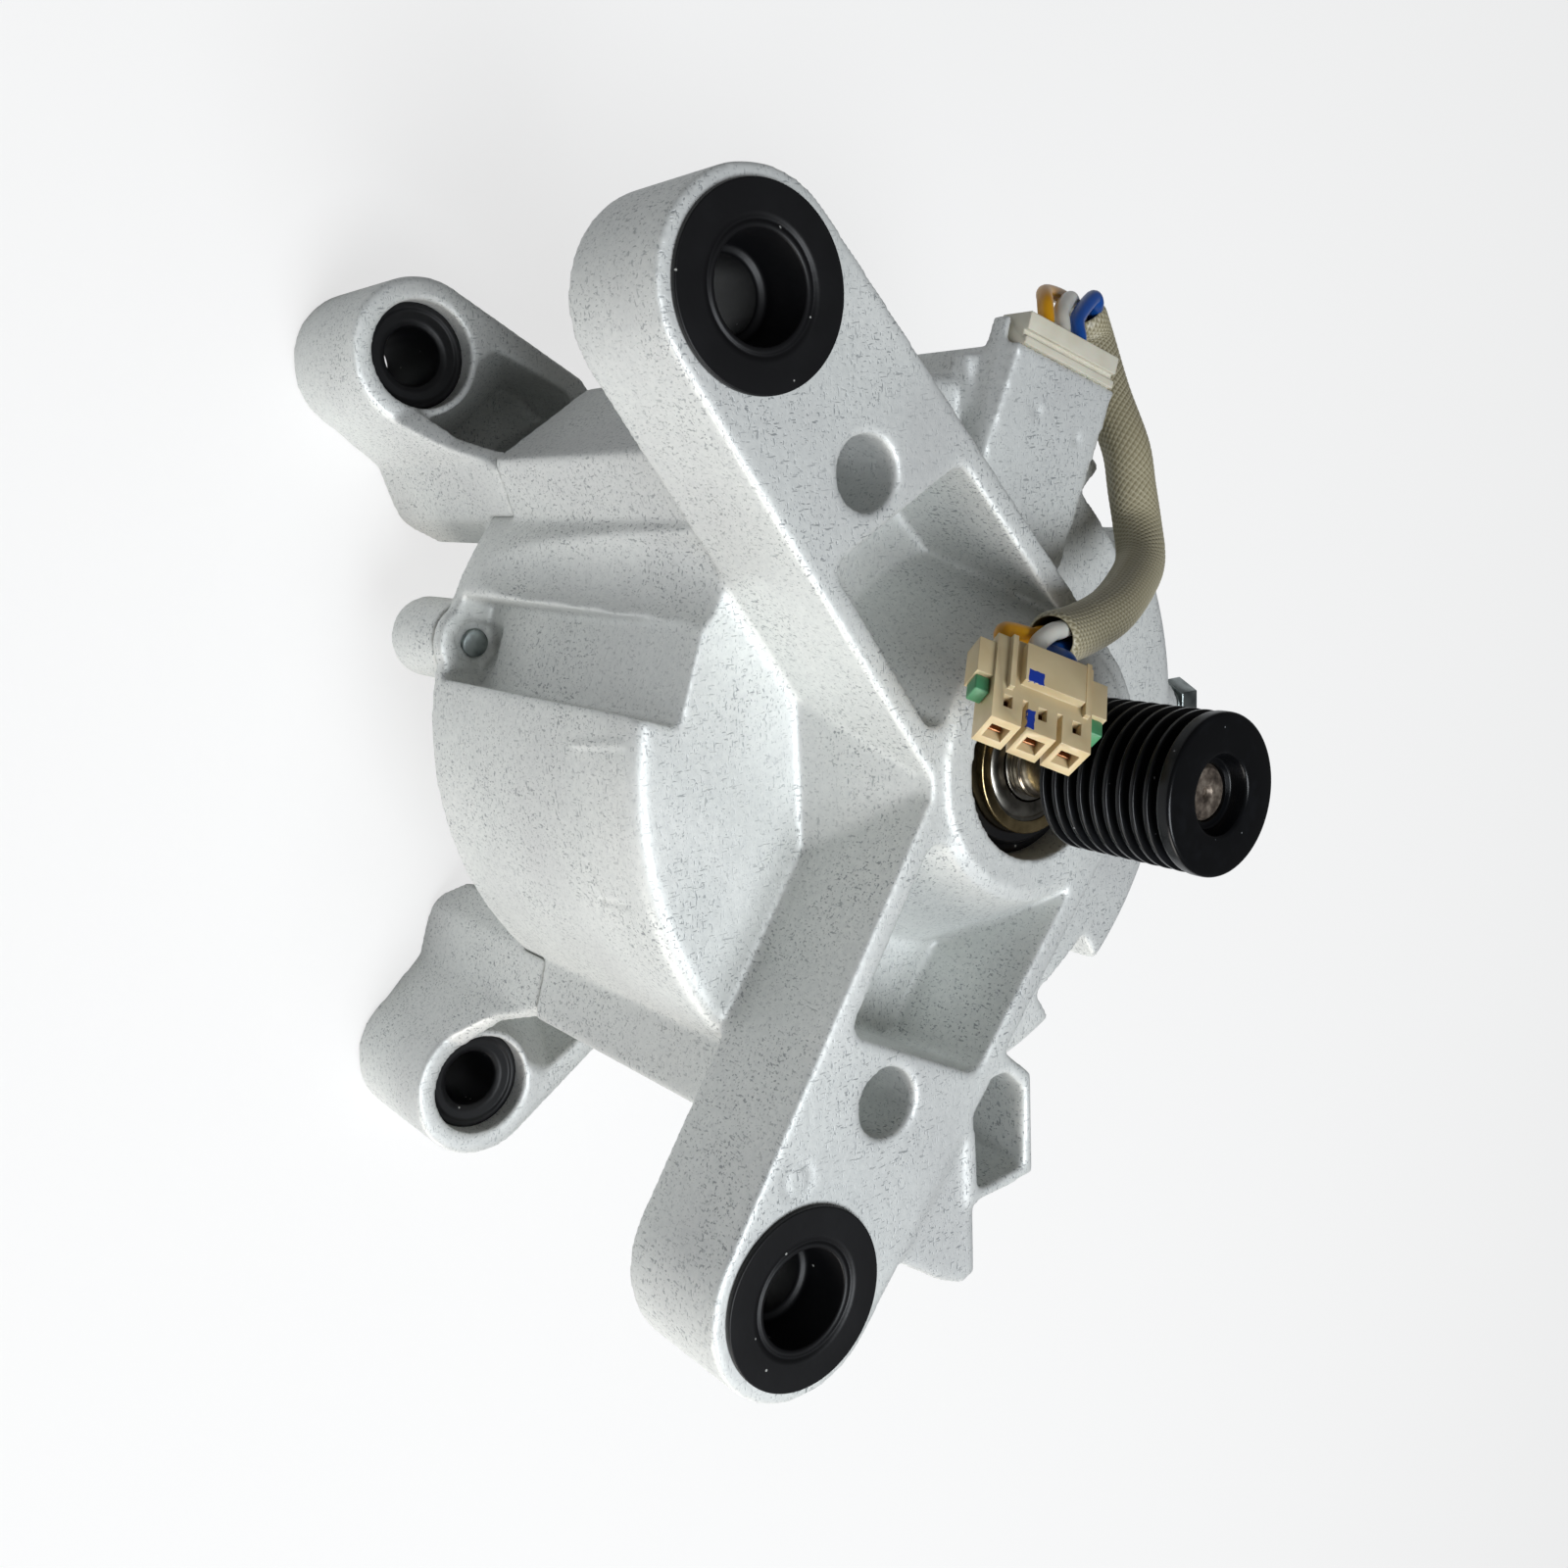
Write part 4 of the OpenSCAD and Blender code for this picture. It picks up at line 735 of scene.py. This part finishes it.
class MOTOR_OT_lead(bpy.types.Operator):
    """Three insulated wires in a braided sleeve, from the header to the connector"""

    bl_idname = "motor.lead"
    bl_label = "Lead"

    def execute(self, context):
        look = context.scene.motor_lead
        row, to_wires, _ = connector_axes()
        wire_side = CONNECTOR_FACE + PLUG_LEN * to_wires
        sleeve_mm = smooth_route(SLEEVE_ROUTE, 24)
        sleeve = self.braid(sleeve_mm, look)
        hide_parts("braided_sleeve")
        # Extruded PVC: even colours with a soft gloss
        finishes = {
            "yellow": plastic("PVC insulation, yellow", "#d99a0c", "#b97a08", 0.3),
            "white": plastic("PVC insulation, white", "#d8d6cd", "#bdbab0", 0.3),
            "blue": plastic("PVC insulation, blue", "#1450a4", "#0d3a7d", 0.3),
        }
        for name, *course in WIRES:
            route = self.wire_route(*course, wire_side, row, to_wires)
            wire = wire_tube(name + "_lead_wire", route, look.wire_radius, finishes[name])
            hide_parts(name + "_wire")
        return {"FINISHED"}

    def wire_route(self, side, bends, mouth_angle, place, last_bends, end_angle, wire_side, row, to_wires):
        """Whole route of a wire: header, mouth of the sleeve, sleeve, connector."""
        a, b = math.radians(mouth_angle), math.radians(end_angle)
        mouth = MOUTH_SPREAD * Vector((0, math.cos(a), math.sin(a)))
        spread = END_SPREAD * Vector((math.cos(b), 0, math.sin(b)))
        start = [from_tower(HEADER_TOP + k * WIRE_STUB, side, HEADER_LOW + 3) for k in (-1, 0, 1)]
        start += [Vector(bend) for bend in bends]
        inner = smooth_route(SLEEVE_ROUTE, 2)
        lengths = np.linalg.norm(np.diff(inner, axis=0), axis=1)
        shares = np.concatenate([[0], np.cumsum(lengths)]) / lengths.sum()
        sides, normals = route_frames(inner, np.array((0.3, 0.6, -0.8)))
        first = np.array((mouth @ Vector(sides[0]), mouth @ Vector(normals[0])))
        last = np.array((spread @ Vector(sides[-1]), spread @ Vector(normals[-1])))
        turn_first, turn_last = np.arctan2(first[1], first[0]), np.arctan2(last[1], last[0])
        twist = (turn_last - turn_first + math.pi) % (2 * math.pi) - math.pi
        inside = []
        for i, p in enumerate(inner):
            turn = turn_first + twist * shares[i]
            inside.append(Vector(p + END_SPREAD * (math.cos(turn) * sides[i] + math.sin(turn) * normals[i])))
        target = wire_side + place * CONTACT_PITCH * row
        stubs = [target + k * WIRE_STUB * to_wires for k in (1, 0, -0.8)]
        return smooth_route(start + inside + [Vector(bend) for bend in last_bends] + stubs, 6)

    def braid(self, route, look):
        """Sleeve whose strands stand out of its surface, with a turned-in mouth at both ends."""
        steps = np.linalg.norm(np.diff(route, axis=0), axis=1)
        along = np.concatenate([[0], np.cumsum(steps)])
        total = along[-1]
        rings = int(total / (look.strand_pitch / 4))
        s = np.linspace(0, total, rings)
        fine = np.stack([np.interp(s, along, route[:, i]) for i in range(3)], 1)
        for _ in range(6):
            fine[1:-1] = (fine[:-2] + 2 * fine[1:-1] + fine[2:]) / 4
        strands = 20
        sides = strands * 6
        turns = np.arange(sides) * 2 * np.pi / sides
        side_v, normal_v = route_frames(fine, np.array((0.3, 0.6, -0.8)))
        vertices, heights = [], []
        for i, p in enumerate(fine):
            twist = 2 * np.pi * s[i] / (look.strand_pitch * strands)
            one = np.cos(strands * (turns + twist))
            two = np.cos(strands * (turns - twist))
            over = 0.5 + 0.5 * np.sign(np.cos(strands * turns) * np.cos(strands * twist))
            height = 0.5 + 0.5 * np.where(over > 0.5, one, two) * 0.9
            fade = min(1.0, min(s[i], total - s[i]) / 1.2)
            r = look.sleeve_radius - 0.22 + 0.20 * height - 0.5 * (1 - fade) ** 2
            across = np.cos(turns)[:, None] * side_v[i] + np.sin(turns)[:, None] * normal_v[i]
            vertices.append(p + r[:, None] * across)
            heights.append(height)
        inner = look.sleeve_radius - 0.75
        bore = [*range(len(fine) - 1, 0, -8), 0]
        for i in bore:
            across = np.cos(turns)[:, None] * side_v[i] + np.sin(turns)[:, None] * normal_v[i]
            vertices.append(fine[i] + inner * across)
            heights.append(np.zeros(sides))
        count = len(fine) + len(bore)
        faces = []
        for i in range(count):
            for k in range(sides):
                a, b = i * sides + k, i * sides + (k + 1) % sides
                c, d = (i + 1) % count * sides + k, (i + 1) % count * sides + (k + 1) % sides
                faces.append((a, c, d, b))
        mesh = mesh_of("sleeve", np.concatenate(vertices), faces)
        # Height of each point on the strands, which the braid's material turns into painted shade in the gaps
        values = mesh.attributes.new("strand_height", "FLOAT", "POINT")
        values.data.foreach_set("value", np.concatenate(heights).astype(np.float32))
        return new_piece("lead_sleeve", mesh, glass_braid(), smooth_angle=80)


class MOTOR_OT_castings(bpy.types.Operator):
    """Front housing and rear bracket, die-cast aluminium"""

    bl_idname = "motor.castings"
    bl_label = "Castings"

    def execute(self, context):
        look = context.scene.motor_casting
        mat = cast_aluminium(look)
        # Ejector marks, then fine lines on the cup's side
        front_marks = [
            ring_mark(-50.8, 49.3, 125, 2.3, 0.22),
            ring_mark(52.4, -14.7, 112, 0, 0.4, 0.85),
            ring_mark(47.8, -24, 112, 0, 0.4, 0.85),
            side_line(83.2, 87.6, 81.6, 101, 0.35),
            side_line(106.6, 89.7, 100.5, 88.7, -0.3),
            side_line(106.6, 89.7, 105.7, 97.1, -0.3),
            side_line(76.5, 66, 76.5, 100, 0.22, 0.6),
        ]
        cast_skin("front_casting", "front_housing", mat, look, machined_front, front_marks)
        cast_skin("rear_casting", "rear_bracket", mat, look, machined_rear, [])
        return {"FINISHED"}


class MOTOR_OT_bushings(bpy.types.Operator):
    """Rubber bushings in the four lugs and the isolating ring of the front bearing"""

    bl_idname = "motor.bushings"
    bl_label = "Bushings"

    def execute(self, context):
        mat = moulded_rubber(context.scene.motor_rubber)
        front = [(5.2, 104), (11, 104), (11, 125), (13.2, 125), (13.2, 126), (12.7, 126.0), (8.9, 126.0),
                 (8.3, 125.55), (7.8, 125.9), (7.2, 125.7), (6.3, 118.4), (5.2, 117.9)]
        rear = [(5.2, 0.1), (9.35, 0.1), (9.35, 24.2), (8.4, 24.2), (7.9, 23.8), (6.2, 23.8), (5.2, 23.2)]
        for name, sign in (("right", 1), ("left", -1)):
            lug = (sign * LUG_X, LUG_Y, 0)
            piece = lathe("front_bushing_" + name, rounded(front, 0.4), mat, centre=lug, sides=128)
            other = lathe("rear_bushing_" + name, rounded(rear, 0.4), mat, centre=lug, sides=96)
            if sign > 0:
                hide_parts("front_bushings")
                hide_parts("rear_bushings")
        seat = [(9.7, 114.5), (14.66, 114.5), (14.66, 119.7), (14.2, 120.1), (13.2, 120.1), (12.8, 121.0),
                (12.6, 121.3), (11.2, 121.3), (11, 121), (11, 116.7), (9.7, 116.7)]
        piece = lathe("isolating_ring_skin", rounded(seat, 0.25), mat)
        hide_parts("isolating_ring")
        return {"FINISHED"}


class MOTOR_OT_bearings(bpy.types.Operator):
    """Front bearing with its rounded rings and pressed shield; the rear one keeps its plain rings"""

    bl_idname = "motor.bearings"
    bl_label = "Bearings"

    def execute(self, context):
        # Bearing steel, ground, with a painted warm reflection that tints it straw: a warm bright ring
        ring = metal("bearing steel, ground, painted warm reflection", "#8c7b58", "#c2ae84", 0.22, turned=True)
        # Bearing steel, ground: bright grey, its highlights drawn into rings
        bright = metal("bearing steel, ground", "#7d7a73", "#bdbab2", 0.2, turned=True)
        # Sheet steel, pressed: a darker, slightly uneven grey
        shield = metal("sheet steel, pressed", "#57544e", "#98958d", 0.3)
        top, low = BEARING_TOP, BEARING_TOP - BEARING_WIDTH
        outer = [(9.1, top), (9.1, top - 1.2), (9.15, low), (11, low), (11, top)]
        piece = lathe("front_bearing_outer", rounded(outer, 0.35), ring)
        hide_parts("front_outer_ring")
        inner = [(BORE_R, top), (BORE_R, low), (5.9, low), (5.9, top)]
        piece = lathe("front_bearing_inner", rounded(inner, 0.3), bright, "rotor")
        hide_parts("front_inner_ring")
        for name, z, way in (("front", top - 0.7, 1), ("back", top - 6.7, -1)):
            plate = [(6.2, z), (6.2, z + 0.4), (7.2, z + 0.4 + 0.1 * way), (8.2, z + 0.4), (8.6, z + 0.15),
                     (9.08, z + 0.25), (9.08, z), (8.6, z - 0.1), (8.2, z)]
            piece = lathe("front_shield_" + name, plate, shield)
            if way > 0:
                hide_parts("front_shields")
        for node, mat in (("rear_outer_ring", bright), ("rear_inner_ring", bright), ("rear_shields", shield)):
            dress(node, mat)
        for node in ("front_balls", "rear_balls"):
            # Bearing steel, polished: small mirrors
            dress(node, metal("bearing steel, polished", "#a9a9a9", "#dadada", 0.08))
        for node in ("front_cage", "rear_cage"):
            # Sheet brass, pressed: yellow, with a soft shine
            dress(node, metal("sheet brass, pressed", "#8a6a2a", "#c69d4a", 0.3))
        return {"FINISHED"}


class MOTOR_OT_pulley(bpy.types.Operator):
    """Ribbed pulley, shaft with its stained end, and the spacer behind the pulley"""

    bl_idname = "motor.pulley"
    bl_label = "Pulley and shaft"

    def execute(self, context):
        look = context.scene.motor_pulley
        rear, collar, flange = PULLEY_REAR, 1.2, 1.8
        ribs = rear + collar
        front = ribs + look.rib_count * look.rib_pitch + flange
        top, root = look.radius - 0.1, look.radius - 0.1 - look.groove
        outline = [(BORE_R, rear), (root, rear), (top, ribs - 0.3)]
        radii = [0.1, 0.3, 0.3]
        for i in range(look.rib_count):
            z = ribs + i * look.rib_pitch
            half = look.rib_pitch / 2
            outline += [(top, z + 0.32), (root, z + half - 0.2), (root, z + half + 0.2),
                        (top, z + 2 * half - 0.32)]
            radii += [0.22, 0.18, 0.18, 0.22]
        recess = front - 2.4
        outline += [(look.radius, front - flange), (look.radius, front), (5.6, front), (5.0, recess),
                    (BORE_R, recess)]
        radii += [0.25, 0.7, 0.5, 0.3, 0.05]
        piece = lathe("belt_pulley", rounded(outline, radii, 5), oiled_black(), "rotor", sides=160)
        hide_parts("pulley")
        shaft = [(0, 5.2), (3.6, 5.2), (4, 5.6), (4, 13.1), (5, 13.1), (5, 116.6), (4, 116.6),
                 (4, recess - 0.7), (3.4, recess - 0.02), (1.1, recess - 0.02), (0.5, recess - 0.55),
                 (0, recess - 0.6)]
        outline = rounded(shaft[1:-1], 0.15, 3)
        piece = lathe("turned_shaft", [shaft[0], *outline, shaft[-1]], shaft_steel(), "rotor", sides=96)
        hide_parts("shaft")
        # Steel tube, turned: warm grey and bright, with fine rings
        steel = metal("sleeve steel, turned", "#8b8378", "#cfc6b6", 0.18, turned=True)
        tube = [(BORE_R, BEARING_TOP), (5.2, BEARING_TOP), (5.2, 125.2), (4.95, 125.5),
                (4.95, PULLEY_REAR - 0.4), (4.8, PULLEY_REAR), (BORE_R, PULLEY_REAR)]
        piece = lathe("spacer_tube", rounded(tube, 0.2), steel, "rotor", sides=96)
        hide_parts("shaft_spacer")
        return {"FINISHED"}


class MOTOR_OT_header(bpy.types.Operator):
    """Header in the tower and the connector at the lead's end"""

    bl_idname = "motor.header"
    bl_label = "Header and connector"

    def execute(self, context):
        # Polyamide, moulded, uncoloured: milky white, soft and half dull
        nylon = plastic("polyamide, natural, moulded", "#d9d4c4", "#c6bfa8", 0.42)
        # PBT, moulded: an even cream with a faint yellow cloud
        cream = plastic("PBT, cream, moulded", "#d6c39b", "#bda577", 0.36)
        # PBT, moulded: an even leaf green
        green = plastic("PBT, green, moulded", "#4f9468", "#3b7a52", 0.4)
        # Tinned copper alloy, stamped: the tin is thin, so a coppery shine comes through
        contact = metal("tinned copper alloy, stamped", "#8a5a3c", "#d29a72", 0.3)
        axes = connector_axes()
        row, to_wires, to_latch = axes
        paint_marks(cream, axes, [
            (CONNECTOR_FACE - 1.84 * row + 8.05 * to_wires + 4.1 * to_latch, (1.1, 1.0, 0.5)),
            (CONNECTOR_FACE - 1.6 * row + 1.9 * to_wires + 2.8 * to_latch, (0.55, 1.5, 0.5)),
        ], "#17389c")
        dress("header_body", nylon, 0.3, 2)
        dress("header_pins", contact)
        dress("connector_housing", cream, 0.22, 2)
        dress("connector_locks", green, 0.25, 2)
        dress("connector_contacts", contact, 0.08, 1)
        return {"FINISHED"}


class MOTOR_OT_fasteners(bpy.types.Operator):
    """Housing screws and the earth point"""

    bl_idname = "motor.fasteners"
    bl_label = "Fasteners"

    def execute(self, context):
        # Zinc-plated steel: cool pale grey with a broad shine
        zinc = metal("zinc-plated steel", "#7c8484", "#b4bcbb", 0.32)
        # Plated sheet steel, stained: a duller, greenish grey in blotches
        old = metal("plated sheet steel, stained", "#4a4c46", "#8d9088", 0.4)
        dress("housing_screws", zinc, 0.25, 2)
        dress("earth_screw", zinc, 0.4, 2)
        dress("earth_washer", zinc, 0.15, 2)
        dress("earth_terminal", old, 0.15, 2)
        return {"FINISHED"}


class MOTOR_OT_inner_parts(bpy.types.Operator):
    """Stator, windings and rotor inside the closed housing"""

    bl_idname = "motor.inner_parts"
    bl_label = "Inner parts"

    def execute(self, context):
        # Electrical sheet steel, stacked: dull dark grey
        sheet = metal("electrical sheet steel, stacked", "#55575a", "#7f8285", 0.45)
        # Enamelled copper wire, wound: glossy reddish brown
        copper = metal("copper wire, enamelled", "#7c3d17", "#b8662f", 0.3, patch_mm=1.2)
        # Sintered ferrite: dull and nearly black
        ferrite = metal("ferrite, sintered", "#232427", "#3a3b3f", 0.6, 0.2)
        # PBT, moulded: an even off-white
        base = plastic("PBT, white, moulded", "#d5d4ce", "#bcbab2", 0.5)
        # Phenolic, moulded: an even black, half dull
        dark = plastic("phenolic, black, moulded", "#2a2a2c", "#1c1c1e", 0.5)
        # Spring steel, rolled: smooth grey with a clear shine
        spring = metal("spring steel, rolled", "#606264", "#a2a4a6", 0.28)
        for nodes, mat in (
            (("stator_core", "rotor_core"), sheet), (("coils_u", "coils_v", "coils_w"), copper),
            (("magnets",), ferrite), (("front_insulator", "rear_insulator"), base),
            (("rotor_front_ring", "rotor_rear_ring"), dark), (("wave_washer", "retaining_ring"), spring),
        ):
            for node in nodes:
                dress(node, mat)
        return {"FINISHED"}


class MOTOR_PT_panel(bpy.types.Panel):
    """Buttons that build the motor's looks"""

    bl_idname = "MOTOR_PT_panel"
    bl_label = "Washing machine motor"
    bl_space_type = "VIEW_3D"
    bl_region_type = "UI"
    bl_category = "Motor"

    def draw(self, context):
        for operator in OPERATORS:
            self.layout.operator(operator.bl_idname)
        for group, _ in SETTINGS:
            holder = getattr(context.scene, group)
            for key in holder.__annotations__:
                self.layout.prop(holder, key)


OPERATORS = (
    MOTOR_OT_stage, MOTOR_OT_lead, MOTOR_OT_castings, MOTOR_OT_bushings, MOTOR_OT_bearings,
    MOTOR_OT_pulley, MOTOR_OT_header, MOTOR_OT_fasteners, MOTOR_OT_inner_parts,
)
SETTINGS = (
    ("motor_stage", StageSettings), ("motor_lead", LeadSettings), ("motor_casting", CastingSettings),
    ("motor_rubber", RubberSettings), ("motor_pulley", PulleySettings),
)


def register():
    """Registers the settings, the operators and the panel."""
    for name, group in SETTINGS:
        bpy.utils.register_class(group)
        setattr(bpy.types.Scene, name, bpy.props.PointerProperty(type=group))
    for kind in (*OPERATORS, MOTOR_PT_panel):
        bpy.utils.register_class(kind)


def unregister():
    """Takes them out again, in the opposite order."""
    for kind in (MOTOR_PT_panel, *reversed(OPERATORS)):
        bpy.utils.unregister_class(kind)
    for name, group in reversed(SETTINGS):
        delattr(bpy.types.Scene, name)
        bpy.utils.unregister_class(group)


def main():
    register()
    bpy.ops.motor.stage()
    bpy.ops.motor.lead()
    bpy.ops.motor.castings()
    bpy.ops.motor.bushings()
    bpy.ops.motor.bearings()
    bpy.ops.motor.pulley()
    bpy.ops.motor.header()
    bpy.ops.motor.fasteners()
    bpy.ops.motor.inner_parts()


if __name__ == "__main__":
    main()
